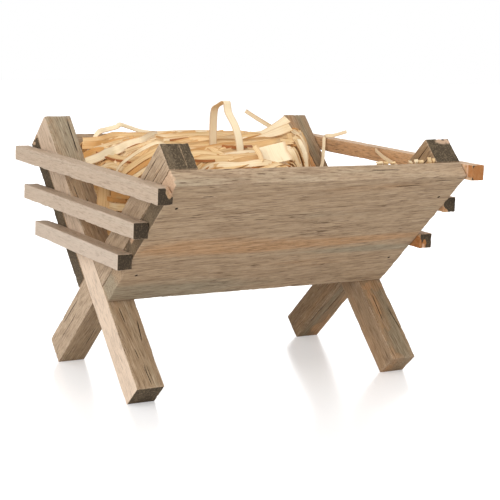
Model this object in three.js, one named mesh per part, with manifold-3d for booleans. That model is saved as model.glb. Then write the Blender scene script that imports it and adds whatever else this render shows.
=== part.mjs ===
// A small wooden manger: two crossed-leg frames, two sloping boards, end slats and a bed of straw.
// Millimetres, +Z up. X runs along the boards, the front board faces -Y, and the origin is on the
// ground under the middle of the object.
import * as THREE from 'three';
import { mergeVertices } from 'three/addons/utils/BufferGeometryUtils.js';
import Module from 'manifold-3d';

const wasm = await Module();
wasm.setup();

// Frames: square legs that cross and are halved into each other.
const LEG_STOCK = 20;
const LEG_LENGTH = 223;
const FOOT_TO_CROSSING = 88;
const LEAN = THREE.MathUtils.degToRad(45);
const FOOT_FLAT = 2;
const FRAME_SPAN = 220.6;

// Boards: one thick board nailed under the upper arms on each side.
const BOARD_THICKNESS = 12;

// Floor strip: bevelled, lies in the slot between the boards.
const STRIP_THICKNESS = 8;
const STRIP_RISE = 2;

// Every seat keeps this gap, which stands for the glue line. Cutters run past the face they cut.
const JOINT_GAP = 0.3;
const OVERCUT = 1;

// End slats: square sticks glued across the outer faces of the legs. The drop is measured from the
// tops of the legs to the underside, the overhangs from the boards' outer faces at that height.
const SLAT_STOCK = 10.5;
const SLAT_DROP = {
  left_top: 34.3, left_middle: 59.7, left_bottom: 82.9, right_top: 25.7, right_middle: 51.1, right_bottom: 80.4,
};
const SLAT_NEAR_OVERHANG = {
  left_top: 4.9, left_middle: -0.2, left_bottom: 2.3, right_top: 1.5, right_middle: 0, right_bottom: 6.3,
};
const SLAT_FAR_OVERHANG = {
  left_top: 10.1, left_middle: 17.6, left_bottom: 19.2, right_top: -3.6, right_middle: 0.3, right_bottom: 10.1,
};

// The near end of the top left slat has lost its upper inner corner.
const CHIPPED_SLAT = 'left_top';
const CHIP_LENGTH = 7;
const CHIP_WIDTH = 6;
const CHIP_DEPTH = 6;

// Brads: two through each board into each leg, sunk below the face, set in from the board's edges.
const BRAD_LENGTH = 25;
const BRAD_SHANK = 1.3;
const BRAD_HEAD = 1.9;
const BRAD_HEAD_THICKNESS = 0.7;
const BRAD_POINT = 2;
const BRAD_SUNK = 0.8;
const BRAD_CLEARANCE = 0.25;
const BRAD_SIDES = 10;
const BRAD_FROM_TOP_EDGE = 23;
const BRAD_FROM_LOWER_EDGE = 29.7;

// Straw heap: fills the trough, crowned across, rounds off at the left end and falls away to a thin
// layer on the right. The fall runs askew, so it is measured along X less a share of Y.
const STRAW_CROWN_ABOVE_EDGE = 4;
const STRAW_CROWN_HEIGHT = 8;
const STRAW_FALL = 30;
const STRAW_FALL_START = 45;
const STRAW_FALL_LENGTH = 18;
const STRAW_FALL_SKEW = 0.69;
const STRAW_END_DROP = 16;
const STRAW_END_LENGTH = 24;
const STRAW_WAVE_HEIGHT = 1.1;
const STRAW_WAVE_ALONG = 47;
const STRAW_WAVE_ACROSS = 39;
const STRAW_GRID = { along: 48, across: 28 };

// Loose straw: flat ribbons that stand clear of the heap.
const RIBBON_THICKNESS = 0.5;
const RIBBON_STEPS_PER_SPAN = 4;
const RIBBON_REST = 0.5;
const RIBBON_WIDTH = {
  loop: 5.4, leaning: 3, hooked: 2.4, short: 3, flake: 18.5, upper: 7, lower: 7, bent: 5.5, arch: 4,
};
const LOOP_HEIGHT = 31;
const ARCH_HEIGHT = 10;

// Where each ribbon lies: in from the upper edge of one of the boards, or from the far leg.
const RIBBON_INSET = {
  loop: 58, leaning: 52.7, hooked: 15.2, short: 24.7, flake: 17.7, upper: 90.7, lower: 108.7, bent: 134.7, arch: 32.7,
};

// Derived sizes.
const legHalf = LEG_STOCK / 2;
const frameHalf = FRAME_SPAN / 2;
const legCentre = frameHalf - legHalf;
const crossingHeight = FOOT_TO_CROSSING * Math.cos(LEAN) + legHalf * Math.sin(LEAN)
  - FOOT_FLAT * Math.sin(LEAN) * Math.cos(LEAN);
const legReach = LEG_LENGTH - FOOT_TO_CROSSING;
const legTop = crossingHeight + legReach * Math.cos(LEAN) + legHalf * Math.sin(LEAN);
const boardInner = legHalf + JOINT_GAP;
const boardOuter = boardInner + BOARD_THICKNESS;
const boardStart = (legHalf + JOINT_GAP
  - Math.min(boardInner * Math.cos(2 * LEAN), boardOuter * Math.cos(2 * LEAN))) / Math.sin(2 * LEAN);
const bradsUpTheLeg = { lower: boardStart + BRAD_FROM_LOWER_EDGE, upper: legReach - BRAD_FROM_TOP_EDGE };
const edgeHeight = crossingHeight + legReach * Math.cos(LEAN) - boardInner * Math.sin(LEAN);
const edgeHalf = wallHalf(edgeHeight, boardInner);
const slotHeight = crossingHeight + boardStart * Math.cos(LEAN) - boardInner * Math.sin(LEAN);
const stripBottom = slotHeight + STRIP_RISE;
const stripTop = stripBottom + STRIP_THICKNESS;
const troughHalfLength = frameHalf - LEG_STOCK - JOINT_GAP;
const strawCrest = edgeHeight + STRAW_CROWN_ABOVE_EDGE + 2 * STRAW_WAVE_HEIGHT + OVERCUT;

// Finishes.
const timber = (color, roughness = 0.85) => new THREE.MeshStandardMaterial({ color, roughness, metalness: 0 });
const weatheredLeg = timber(0xb39c85);
const weatheredBoard = timber(0x9d8468);
const weatheredSlat = timber(0xbdaa95);
const floorTimber = timber(0x94805f);
const strawFinish = timber(0xe8cf9a, 0.7);
const steel = new THREE.MeshStandardMaterial({ color: 0x4a443c, roughness: 0.5, metalness: 0.8 });

// Half the width between two mirrored sloping planes at a height. The offset is the distance from
// the leg's centre plane to the face, outwards.
function wallHalf(height, offset) {
  return offset / Math.cos(LEAN) + (height - crossingHeight) * Math.tan(LEAN);
}

// A closed geometry becomes a solid that can be joined and cut.
function solidOf(geometry, matrix = new THREE.Matrix4()) {
  const bare = geometry.clone().applyMatrix4(matrix);
  bare.deleteAttribute('normal');
  bare.deleteAttribute('uv');
  const merged = mergeVertices(bare, 1e-4);
  return new wasm.Manifold(new wasm.Mesh({
    numProp: 3,
    vertProperties: new Float32Array(merged.attributes.position.array),
    triVerts: new Uint32Array(merged.index.array),
  }));
}

function geometryOf(solid) {
  const { vertProperties, triVerts } = solid.getMesh();
  const geometry = new THREE.BufferGeometry();
  geometry.setAttribute('position', new THREE.BufferAttribute(new Float32Array(vertProperties), 3));
  geometry.setIndex(new THREE.BufferAttribute(new Uint32Array(triVerts), 1));
  geometry.computeVertexNormals();
  return geometry;
}

// A box between two corners.
function boxBetween(low, high) {
  const [length, width, height] = high.map((value, axis) => value - low[axis]);
  const box = new THREE.BoxGeometry(length, width, height);
  return box.translate(low[0] + length / 2, low[1] + width / 2, low[2] + height / 2);
}

// A cylinder along local Z between two heights.
function boreBetween(radius, x, y, low, high) {
  const bore = new THREE.CylinderGeometry(radius, radius, high - low, BRAD_SIDES);
  return bore.rotateX(Math.PI / 2).translate(x, y, (low + high) / 2);
}

// A prism along X with the outline given in Y and Z.
function prismAlongX(outline, start, end) {
  const shape = new THREE.Shape(outline.map(([y, z]) => new THREE.Vector2(y, z)));
  const prism = new THREE.ExtrudeGeometry(shape, { depth: end - start, bevelEnabled: false });
  const turned = new THREE.Matrix4().makeBasis(
    new THREE.Vector3(0, 1, 0), new THREE.Vector3(0, 0, 1), new THREE.Vector3(1, 0, 0),
  );
  return prism.applyMatrix4(turned).translate(start, 0, 0);
}

// The frame of a forward-leaning leg: Y runs up the leg and Z out of its lower front face.
const forwardLean = new THREE.Matrix4().makeRotationX(Math.PI / 2 + LEAN).setPosition(0, 0, crossingHeight);
const intoForwardLean = forwardLean.clone().invert();
const backwardLean = new THREE.Matrix4().makeRotationX(Math.PI / 2 - LEAN).setPosition(0, 0, crossingHeight);

// One leg, in its own frame, with its lapped half, its foot flat and the brads' bores. All four
// legs are this piece: the back two are the front two turned half round.
function legGeometry() {
  let leg = solidOf(boxBetween(
    [-legHalf, -FOOT_TO_CROSSING, -legHalf],
    [legHalf, legReach, legHalf],
  ));
  const lapReach = legHalf + JOINT_GAP;
  const lap = boxBetween(
    [-LEG_STOCK, -3 * LEG_STOCK, -lapReach],
    [JOINT_GAP / 2, 3 * LEG_STOCK, lapReach],
  );
  leg = leg.subtract(solidOf(lap, intoForwardLean.clone().multiply(backwardLean)));
  const ground = boxBetween(
    [-LEG_STOCK, -LEG_LENGTH, -LEG_STOCK],
    [LEG_STOCK, LEG_LENGTH, 0],
  );
  leg = leg.subtract(solidOf(ground, intoForwardLean));
  const bradDepth = BRAD_LENGTH + BRAD_SUNK + BRAD_CLEARANCE;
  for (const along of Object.values(bradsUpTheLeg)) {
    const bore = boreBetween(
      BRAD_SHANK / 2 + BRAD_CLEARANCE, 0, along, boardOuter - bradDepth, boardOuter,
    );
    leg = leg.subtract(solidOf(bore));
  }
  return geometryOf(leg);
}

// The board in the leg's frame: flush with the leg ends above, resting on the other legs below.
function boardGeometry() {
  let board = solidOf(boxBetween(
    [-frameHalf, boardStart, boardInner],
    [frameHalf, legReach, boardOuter],
  ));
  const headSeat = boardOuter - BRAD_SUNK - BRAD_HEAD_THICKNESS - BRAD_CLEARANCE;
  for (const x of [-legCentre, legCentre]) {
    for (const along of Object.values(bradsUpTheLeg)) {
      const shank = boreBetween(
        BRAD_SHANK / 2 + BRAD_CLEARANCE, x, along, boardInner - OVERCUT, boardOuter,
      );
      const head = boreBetween(
        BRAD_HEAD / 2 + BRAD_CLEARANCE, x, along, headSeat, boardOuter + OVERCUT,
      );
      board = board.subtract(solidOf(shank)).subtract(solidOf(head));
    }
  }
  return geometryOf(board);
}

// A brad with its head up local Z and its origin on top of the head.
function bradGeometry() {
  const profile = [
    [0, -BRAD_LENGTH],
    [BRAD_SHANK / 2, -BRAD_LENGTH + BRAD_POINT],
    [BRAD_SHANK / 2, -BRAD_HEAD_THICKNESS],
    [BRAD_HEAD / 2, -BRAD_HEAD_THICKNESS],
    [BRAD_HEAD / 2, 0],
    [0, 0],
  ].map(([radius, height]) => new THREE.Vector2(radius, height));
  return new THREE.LatheGeometry(profile, BRAD_SIDES).rotateX(Math.PI / 2);
}

// The strip that closes the slot: its long edges are bevelled to the slope of the boards.
function stripGeometry() {
  const seat = boardInner - JOINT_GAP;
  const low = wallHalf(stripBottom, seat) - JOINT_GAP / Math.cos(LEAN);
  const high = wallHalf(stripTop, seat) - JOINT_GAP / Math.cos(LEAN);
  return prismAlongX(
    [[-low, stripBottom], [low, stripBottom], [high, stripTop], [-high, stripTop]],
    -troughHalfLength, troughHalfLength,
  );
}

// One end slat, by its name: its side and its place, such as left_top.
function slatGeometry(slat) {
  const isLeft = slat.startsWith('left');
  const bottom = legTop - SLAT_DROP[slat];
  const boardFace = wallHalf(bottom + SLAT_STOCK / 2, boardOuter);
  const inner = frameHalf + JOINT_GAP;
  const [low, high] = isLeft ? [-inner - SLAT_STOCK, -inner] : [inner, inner + SLAT_STOCK];
  const near = -boardFace - SLAT_NEAR_OVERHANG[slat];
  const stick = boxBetween(
    [low, near, bottom],
    [high, boardFace + SLAT_FAR_OVERHANG[slat], bottom + SLAT_STOCK],
  );
  if (slat !== CHIPPED_SLAT) return stick;
  return geometryOf(solidOf(stick).subtract(solidOf(chipCutter(high, near, bottom + SLAT_STOCK))));
}

// The broken corner: a three-sided wedge across the slat's upper inner arris at its near end.
function chipCutter(x, y, z) {
  const corners = [
    [x + OVERCUT, y - OVERCUT, z + OVERCUT],
    [x - CHIP_WIDTH, y - OVERCUT, z + OVERCUT],
    [x + OVERCUT, y + CHIP_LENGTH, z + OVERCUT],
    [x + OVERCUT, y - OVERCUT, z - CHIP_DEPTH],
  ];
  const wedge = new THREE.BufferGeometry();
  wedge.setAttribute('position', new THREE.Float32BufferAttribute(corners.flat(), 3));
  wedge.setIndex([0, 2, 1, 0, 1, 3, 0, 3, 2, 1, 2, 3]);
  return wedge;
}

// Height of the straw: a crown across the trough, a skewed fall to the right, a rounded left end and
// low waves.
function strawTop(x, y) {
  const along = x - STRAW_FALL_SKEW * y;
  const fall = THREE.MathUtils.smoothstep(along, STRAW_FALL_START, STRAW_FALL_START + STRAW_FALL_LENGTH);
  const crown = STRAW_CROWN_HEIGHT * (y / edgeHalf) ** 2;
  const intoEnd = THREE.MathUtils.clamp(1 - (x + troughHalfLength) / STRAW_END_LENGTH, 0, 1);
  const waves = STRAW_WAVE_HEIGHT * (
    Math.sin(2 * Math.PI * x / STRAW_WAVE_ALONG) + Math.sin(2 * Math.PI * (y + x / 2) / STRAW_WAVE_ACROSS)
  );
  const sunk = crown + fall * STRAW_FALL + intoEnd ** 2 * STRAW_END_DROP;
  return edgeHeight + STRAW_CROWN_ABOVE_EDGE - sunk + waves;
}

// A closed block over the trough whose upper face follows the straw.
function strawBlock(floorHeight) {
  const { along, across } = STRAW_GRID;
  const low = [-troughHalfLength, -edgeHalf];
  const size = [2 * troughHalfLength, 2 * edgeHalf];
  const positions = [];
  for (const upper of [true, false]) {
    for (let i = 0; i <= along; i += 1) {
      for (let j = 0; j <= across; j += 1) {
        const x = low[0] + size[0] * i / along;
        const y = low[1] + size[1] * j / across;
        positions.push(x, y, upper ? strawTop(x, y) : floorHeight);
      }
    }
  }
  const row = across + 1;
  const layer = row * (along + 1);
  const faces = [];
  const quad = (a, b, c, d) => faces.push(a, b, c, a, c, d);
  for (let i = 0; i < along; i += 1) {
    for (let j = 0; j < across; j += 1) {
      const a = i * row + j;
      quad(a, a + row, a + row + 1, a + 1);
      quad(layer + a, layer + a + 1, layer + a + row + 1, layer + a + row);
    }
  }
  for (let i = 0; i < along; i += 1) {
    const near = i * row;
    const far = near + across;
    quad(near, layer + near, layer + near + row, near + row);
    quad(far, far + row, layer + far + row, layer + far);
  }
  for (let j = 0; j < across; j += 1) {
    const right = along * row + j;
    quad(j, j + 1, layer + j + 1, layer + j);
    quad(right, layer + right, layer + right + 1, right + 1);
  }
  const block = new THREE.BufferGeometry();
  block.setAttribute('position', new THREE.Float32BufferAttribute(positions, 3));
  block.setIndex(faces);
  return block;
}

// The room that straw can fill: the trough between the boards, from frame to frame.
function strawRoom() {
  const boardFace = boardInner - JOINT_GAP;
  const floor = stripTop + JOINT_GAP;
  const low = wallHalf(floor, boardFace);
  const high = wallHalf(strawCrest, boardFace);
  return solidOf(prismAlongX(
    [[-low, floor], [low, floor], [high, strawCrest], [-high, strawCrest]],
    -troughHalfLength, troughHalfLength,
  ));
}

// The part of the trough between two skewed lines across it.
function skewedSlice(start, end) {
  const skew = new THREE.Matrix4().makeShear(0, 0, STRAW_FALL_SKEW, 0, 0, 0);
  return boxBetween([start, -edgeHalf, 0], [end, edgeHalf, strawCrest]).applyMatrix4(skew);
}

function strawGeometries() {
  const bed = strawRoom().intersect(solidOf(strawBlock(stripTop)));
  const split = STRAW_FALL_START + STRAW_FALL_LENGTH;
  const beyond = FRAME_SPAN + LEG_LENGTH;
  return {
    heap: geometryOf(bed.intersect(solidOf(skewedSlice(-beyond, split)))),
    layer: geometryOf(bed.intersect(solidOf(skewedSlice(split + JOINT_GAP, beyond)))),
  };
}

// A flat ribbon: rings of four corners carried along a smooth route. The width lies along the
// directions given for its start and end, squared to the route. A ring that would sink into the
// straw is lifted to rest on it.
function ribbonGeometry({ route, width, across, acrossEnd = across }) {
  const curve = new THREE.CatmullRomCurve3(route.map((point) => new THREE.Vector3(...point)));
  const steps = (route.length - 1) * RIBBON_STEPS_PER_SPAN;
  const corners = [];
  for (let step = 0; step <= steps; step += 1) {
    const share = step / steps;
    const point = curve.getPoint(share);
    const tangent = curve.getTangent(share);
    const side = new THREE.Vector3(...across).lerp(new THREE.Vector3(...acrossEnd), share);
    side.addScaledVector(tangent, -side.dot(tangent)).setLength(width / 2);
    const lift = new THREE.Vector3().crossVectors(tangent, side).setLength(RIBBON_THICKNESS / 2);
    const ring = [[-1, -1], [1, -1], [1, 1], [-1, 1]].map(([sideSign, liftSign]) => (
      point.clone().addScaledVector(side, sideSign).addScaledVector(lift, liftSign)
    ));
    const sunk = Math.max(0, ...ring.map(({ x, y, z }) => strawTop(x, y) + RIBBON_REST - z));
    ring.forEach((corner) => corners.push(corner.x, corner.y, corner.z + sunk));
  }
  const faces = [0, 2, 1, 0, 3, 2];
  for (let step = 0; step < steps; step += 1) {
    for (let corner = 0; corner < 4; corner += 1) {
      const a = 4 * step + corner;
      const b = 4 * step + (corner + 1) % 4;
      faces.push(a, b, b + 4, a, b + 4, a + 4);
    }
  }
  const last = 4 * steps;
  faces.push(last, last + 1, last + 2, last, last + 2, last + 3);
  const ribbon = new THREE.BufferGeometry();
  ribbon.setAttribute('position', new THREE.Float32BufferAttribute(corners, 3));
  ribbon.setIndex(faces);
  ribbon.computeVertexNormals();
  return ribbon;
}

// A route point above the straw: x, y and the rise over the heap at that place.
const overStraw = (x, y, rise = RIBBON_REST) => [x, y, strawTop(x, y) + rise];

// The loose ribbons that show above the heap, by name.
function looseStraw() {
  const facingFront = [0.86, -0.5, 0];
  const slatCrest = legTop - SLAT_DROP.right_top + SLAT_STOCK;
  const slatFace = frameHalf + JOINT_GAP;
  const fromFront = (inset) => -edgeHalf + inset;
  const fromBack = (inset) => edgeHalf - inset;
  const loop = fromFront(RIBBON_INSET.loop);
  const leaning = fromBack(RIBBON_INSET.leaning);
  const hooked = wallHalf(slatCrest, -legHalf) - RIBBON_INSET.hooked;
  const short = fromFront(RIBBON_INSET.short);
  const flake = fromFront(RIBBON_INSET.flake);
  const upper = fromBack(RIBBON_INSET.upper);
  const lower = fromBack(RIBBON_INSET.lower);
  const bent = fromBack(RIBBON_INSET.bent);
  const arch = fromBack(RIBBON_INSET.arch);
  return {
    straw_loop: {
      width: RIBBON_WIDTH.loop,
      across: [1, 0, 0],
      route: [
        overStraw(-38, loop + 18), overStraw(-38, loop + 18.8, LOOP_HEIGHT * 0.39),
        overStraw(-38, loop + 18.4, LOOP_HEIGHT * 0.75), overStraw(-38, loop + 16.9, LOOP_HEIGHT * 0.86),
        overStraw(-38, loop + 10.9, LOOP_HEIGHT * 0.95), overStraw(-38, loop + 2.8, LOOP_HEIGHT),
        overStraw(-38, loop - 0.1, LOOP_HEIGHT * 0.79), overStraw(-38, loop - 10.7, LOOP_HEIGHT * 0.52),
        overStraw(-38, loop - 16.3, LOOP_HEIGHT * 0.24), overStraw(-38, loop - 17.8),
      ],
    },
    straw_leaning_strand: {
      width: RIBBON_WIDTH.leaning,
      across: [0.4, -0.2, 0.9],
      route: [
        overStraw(66, leaning - 4), overStraw(56, leaning, 5.2), overStraw(45, leaning + 5, 13.6),
        overStraw(37, leaning + 8, 19.9),
      ],
    },
    straw_hooked_strand: {
      width: RIBBON_WIDTH.hooked,
      across: facingFront,
      route: [
        [slatFace - 13, hooked - 14, slatCrest - 22], [slatFace - 9, hooked - 10, slatCrest - 17],
        [slatFace - 4, hooked - 3, slatCrest - 7], [slatFace - 1, hooked, slatCrest + 1],
        [slatFace + 4, hooked - 3, slatCrest + 2], [slatFace + 9, hooked - 14, slatCrest + 6],
      ],
    },
    straw_short_strand: {
      width: RIBBON_WIDTH.short,
      across: [0, 0.2, 1],
      route: [
        [slatFace - 1.2, short + 70, slatCrest - 2], [slatFace - 12, short + 46, slatCrest - 4],
        [slatFace - 24, short + 18, slatCrest - 5], [slatFace - 31, short, slatCrest - 6],
      ],
    },
    straw_wide_flake: {
      width: RIBBON_WIDTH.flake,
      across: [0.86, -0.47, 0.2],
      route: [
        overStraw(-28.5, flake - 8.6, 2.4), overStraw(-26, flake, 6), overStraw(-24, flake + 9, 11.8),
      ],
    },
    straw_upper_ribbon: {
      width: RIBBON_WIDTH.upper,
      across: [-0.05, 0.7, 0.71],
      route: [
        overStraw(-8, upper + 2, 0.6), overStraw(7, upper, 0.8), overStraw(23, upper, 4.4),
        overStraw(35.6, upper, 11.1), overStraw(44.6, upper, 15.5),
      ],
    },
    straw_lower_ribbon: {
      width: RIBBON_WIDTH.lower,
      across: [-0.05, 0.7, 0.71],
      route: [
        overStraw(-10, lower, 0.8), overStraw(4, lower, 1.5), overStraw(17, lower, 3.6),
        overStraw(26.5, lower, 6.9), overStraw(35.7, lower, 10.6),
      ],
    },
    straw_bent_ribbon: {
      width: RIBBON_WIDTH.bent,
      across: facingFront,
      route: [
        overStraw(29, bent + 15, 1.2), overStraw(29.5, bent + 8, 6.2), overStraw(28.5, bent + 1, 8.3),
        overStraw(26, bent - 8, 9.8), overStraw(24, bent - 13, 6), overStraw(22, bent - 18),
      ],
    },
    straw_arch: {
      width: RIBBON_WIDTH.arch,
      across: [0.1, 0.7, 0.6],
      route: [
        overStraw(-86, arch - 5), overStraw(-78, arch - 3, ARCH_HEIGHT * 0.75),
        overStraw(-70, arch, ARCH_HEIGHT * 0.68), overStraw(-62, arch, ARCH_HEIGHT * 0.87),
        overStraw(-60, arch, ARCH_HEIGHT), overStraw(-53, arch, ARCH_HEIGHT * 0.73),
        overStraw(-42, arch, ARCH_HEIGHT * 0.22), overStraw(-30, arch - 2),
      ],
    },
  };
}

// Assembly.
const manger = new THREE.Group();
manger.name = 'manger';

function place(parent, name, geometry, material, [x, y, z] = [0, 0, 0]) {
  const mesh = new THREE.Mesh(geometry, material);
  mesh.name = name;
  mesh.position.set(x, y, z);
  parent.add(mesh);
  return mesh;
}

const leg = legGeometry();
const board = boardGeometry();
const brad = bradGeometry();

// One half of the body: a board, the two legs that lean its way and the brads that hold them. The
// back half is the front half turned half round, so its left is the other end.
for (const half of ['front', 'back']) {
  const isFront = half === 'front';
  const side = new THREE.Group();
  side.rotation.z = isFront ? 0 : Math.PI;
  const slope = new THREE.Group();
  slope.rotation.x = Math.PI / 2 + LEAN;
  slope.position.z = crossingHeight;
  side.add(slope);
  manger.add(side);
  place(slope, `${half}_board`, board, weatheredBoard);
  for (const end of ['left', 'right']) {
    const x = (end === 'left') === isFront ? -legCentre : legCentre;
    place(slope, `${end}_leg_leaning_${half}`, leg, weatheredLeg, [x, 0, 0]);
    for (const [level, along] of Object.entries(bradsUpTheLeg)) {
      place(slope, `brad_${half}_${end}_${level}`, brad, steel, [x, along, boardOuter - BRAD_SUNK]);
    }
  }
}

place(manger, 'floor_strip', stripGeometry(), floorTimber);
for (const slat of Object.keys(SLAT_DROP)) {
  place(manger, slat.replace('_', '_slat_'), slatGeometry(slat), weatheredSlat);
}

const straw = strawGeometries();
place(manger, 'straw_heap', straw.heap, strawFinish);
place(manger, 'straw_thin_layer', straw.layer, strawFinish);
for (const [name, ribbon] of Object.entries(looseStraw())) {
  place(manger, name, ribbonGeometry(ribbon), strawFinish);
}

export default manger;
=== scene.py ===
"""The wooden manger, dressed: weathered sawn timber, sunk brads and a bed of flat wood straw.

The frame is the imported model's own: +Z up, X along the boards, the front board facing -Y, metres.
Shapes are worked out with numpy in millimetres, as arrays of points, and stored in metres.
"""

import itertools
import logging
import math
from dataclasses import dataclass, field, replace
from enum import Enum

import bpy
import numpy as np
from mathutils import Matrix, Vector

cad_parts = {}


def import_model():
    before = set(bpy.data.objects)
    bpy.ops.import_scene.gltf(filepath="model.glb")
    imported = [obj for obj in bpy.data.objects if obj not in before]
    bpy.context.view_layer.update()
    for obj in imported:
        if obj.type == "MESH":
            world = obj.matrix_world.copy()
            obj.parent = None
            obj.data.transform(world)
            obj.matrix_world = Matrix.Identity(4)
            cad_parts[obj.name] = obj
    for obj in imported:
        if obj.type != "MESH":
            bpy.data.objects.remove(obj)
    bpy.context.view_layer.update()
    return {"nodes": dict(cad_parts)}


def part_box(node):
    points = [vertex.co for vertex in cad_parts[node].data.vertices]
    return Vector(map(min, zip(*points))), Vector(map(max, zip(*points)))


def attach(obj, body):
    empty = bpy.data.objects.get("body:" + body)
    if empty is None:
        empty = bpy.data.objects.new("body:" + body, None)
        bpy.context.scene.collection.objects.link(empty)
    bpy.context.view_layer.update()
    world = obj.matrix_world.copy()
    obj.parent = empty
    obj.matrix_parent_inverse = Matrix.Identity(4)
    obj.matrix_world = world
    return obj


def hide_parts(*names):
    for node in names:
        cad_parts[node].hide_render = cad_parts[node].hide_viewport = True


LOG = logging.getLogger("manger")
Array = np.ndarray
Colour = tuple[float, float, float, float]
Triple = tuple[float, float, float]
Route = tuple[Triple, ...]

MM = 0.001
TINY = 1e-9
FULL_TURN = 2 * math.pi
LEAN_SHARE = math.sqrt(0.5)
BODY = "root"

RUN_SPACING = 400.0
MOST_RISE = 60.0
FACING = (0.86, -0.5, 0.0)
SLOPED = (-0.1, 0.62, 0.78)
STEEP = (-0.1, 0.4, 0.91)


class Slot(Enum):
    """Names of the material slots for the new pieces."""

    LEG = "leg_wood"
    BOARD = "board_wood"
    SLAT = "slat_wood"
    FLOOR = "floor_wood"
    STRAW = "straw"


class Side(Enum):
    """One of the two ends of an axis."""

    LOW = 0
    HIGH = 1


def paint(red: int, green: int, blue: int) -> Colour:
    """Gives the linear colour for display values of 0 to 255.

    Args:
        red: Display red.
        green: Display green.
        blue: Display blue.

    Returns:
        The linear colour with an alpha of 1.
    """
    display = np.array([red, green, blue]) / 255
    linear = np.where(display <= 0.04045, display / 12.92, ((display + 0.055) / 1.055) ** 2.4)
    return (*linear.tolist(), 1.0)


def smooth_rise(value: Array, low: float, high: float) -> Array:
    """Rises from 0 at low to 1 at high by the share times itself times (3 less twice the share)."""
    share = np.clip((value - low) / (high - low), 0, 1)
    return share * share * (3 - 2 * share)


def node_box(name: str) -> tuple[Array, Array]:
    """Gives the low and high corners of a CAD node's box in millimetres."""
    low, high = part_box(name)
    return np.array(low) / MM, np.array(high) / MM


class Noise:
    """Smooth random heights between -1 and 1 over space."""

    def __init__(self, seed: int, size: int = 24) -> None:
        """Draws the random lattice.

        Args:
            seed: Seed of the draw.
            size: Points along each side of the repeating lattice.
        """
        self.size = size
        self.lattice = np.random.default_rng(seed).uniform(-1, 1, (size, size, size))

    def at(self, points: Array, wavelength: Triple) -> Array:
        """Blends the eight lattice heights round each point by the smooth share along each axis.

        Args:
            points: Places, one row each.
            wavelength: Spacing of the lattice along each axis.

        Returns:
            One height for each point.
        """
        scaled = points / np.array(wavelength)
        cell = np.floor(scaled).astype(int)
        share = scaled - cell
        share = share * share * (3 - 2 * share)
        total = np.zeros(len(points))
        for corner in itertools.product((0, 1), repeat=3):
            index = (cell + np.array(corner)) % self.size
            weight = np.prod(np.where(np.array(corner) == 1, share, 1 - share), axis=1)
            total += weight * self.lattice[index[:, 0], index[:, 1], index[:, 2]]
        return total


@dataclass
class Shell:
    """A closed surface: its points in millimetres, its quads and one row of marks for each point."""

    points: Array
    quads: Array
    marks: dict[str, Array] = field(default_factory=dict)
    creases: Array | None = None

    def make(self, name: str, material: bpy.types.Material) -> bpy.types.Object:
        """Makes the Blender object, with smooth shading and its marks as attributes.

        An edge stays sharp where the crease codes of its two points share a bit.

        Args:
            name: Name of the piece.
            material: Its finish.

        Returns:
            The object, linked to the scene.
        """
        mesh = bpy.data.meshes.new(name)
        mesh.vertices.add(len(self.points))
        mesh.vertices.foreach_set("co", (self.points * MM).astype(np.float32).ravel())
        mesh.loops.add(self.quads.size)
        mesh.loops.foreach_set("vertex_index", self.quads.astype(np.int32).ravel())
        mesh.polygons.add(len(self.quads))
        mesh.polygons.foreach_set("loop_start", np.arange(0, self.quads.size, 4, dtype=np.int32))
        mesh.polygons.foreach_set("use_smooth", np.ones(len(self.quads), dtype=bool))
        mesh.update(calc_edges=True)
        for mark, values in self.marks.items():
            attribute = mesh.attributes.new(mark, "FLOAT_VECTOR", "POINT")
            attribute.data.foreach_set("vector", values.astype(np.float32).ravel())
        if self.creases is not None:
            ends = np.empty(len(mesh.edges) * 2, dtype=np.int32)
            mesh.edges.foreach_get("vertices", ends)
            codes = self.creases[ends.reshape(-1, 2)]
            sharp = mesh.attributes.new("sharp_edge", "BOOLEAN", "EDGE")
            sharp.data.foreach_set("value", (codes[:, 0] & codes[:, 1]) != 0)
        mesh.materials.append(material)
        piece = bpy.data.objects.new(name, mesh)
        bpy.context.scene.collection.objects.link(piece)
        return piece


def box_lattice(stations: list[Array]) -> tuple[Array, Array]:
    """Cuts the surface of a box by three sets of planes and joins the six faces at their edges.

    Args:
        stations: The planes' places along X, Y and Z, rising.

    Returns:
        The points, and the quads as rows of four point numbers with their faces outwards.
    """
    counts = [len(places) for places in stations]
    quads = []
    for axis in range(3):
        second, third = (axis + 1) % 3, (axis + 2) % 3
        j, k = np.meshgrid(np.arange(counts[second] - 1), np.arange(counts[third] - 1), indexing="ij")
        for side in Side:
            ring = [(j, k), (j + 1, k), (j + 1, k + 1), (j, k + 1)]
            if side is Side.LOW:
                ring.reverse()
            corners = []
            for across, up in ring:
                index = [None, None, None]
                index[axis] = np.full_like(across, 0 if side is Side.LOW else counts[axis] - 1)
                index[second] = across
                index[third] = up
                corners.append(np.ravel_multi_index(index, counts).ravel())
            quads.append(np.stack(corners, axis=1))
    used, numbers = np.unique(np.concatenate(quads), return_inverse=True)
    places = np.unravel_index(used, counts)
    points = np.stack([stations[axis][places[axis]] for axis in range(3)], axis=1)
    return points, numbers.reshape(-1, 4)


@dataclass(frozen=True)
class Split:
    """A crack along the grain on one face, in the piece's own millimetres."""

    axis: int
    side: Side
    across: float
    start: float
    end: float
    width: float = 0.35
    depth: float = 1.1
    slant: float = 0.0


@dataclass(frozen=True)
class Hole:
    """A round sinking in the face across the last axis, where a brad went in."""

    x: float
    y: float
    radius: float
    depth: float


@dataclass(frozen=True)
class Stain:
    """A long stain: warm above 0 and grey below, strongest on a line that may slant."""

    axis: int
    across: float
    half_width: float
    strength: float
    slant: float = 0.0
    along: float = 0.0
    reach: float = 1000.0


@dataclass(frozen=True)
class Patch:
    """A ragged round patch in the piece's own millimetres.

    Fresh wood is pale and pink, a tone is warm above 0 and grey below, and bare end grain loses its
    dark weathering.
    """

    centre: Triple
    radii: Triple
    fresh: float = 0.0
    tone: float = 0.0
    bare: float = 0.0
    dark: float = 0.0


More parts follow.
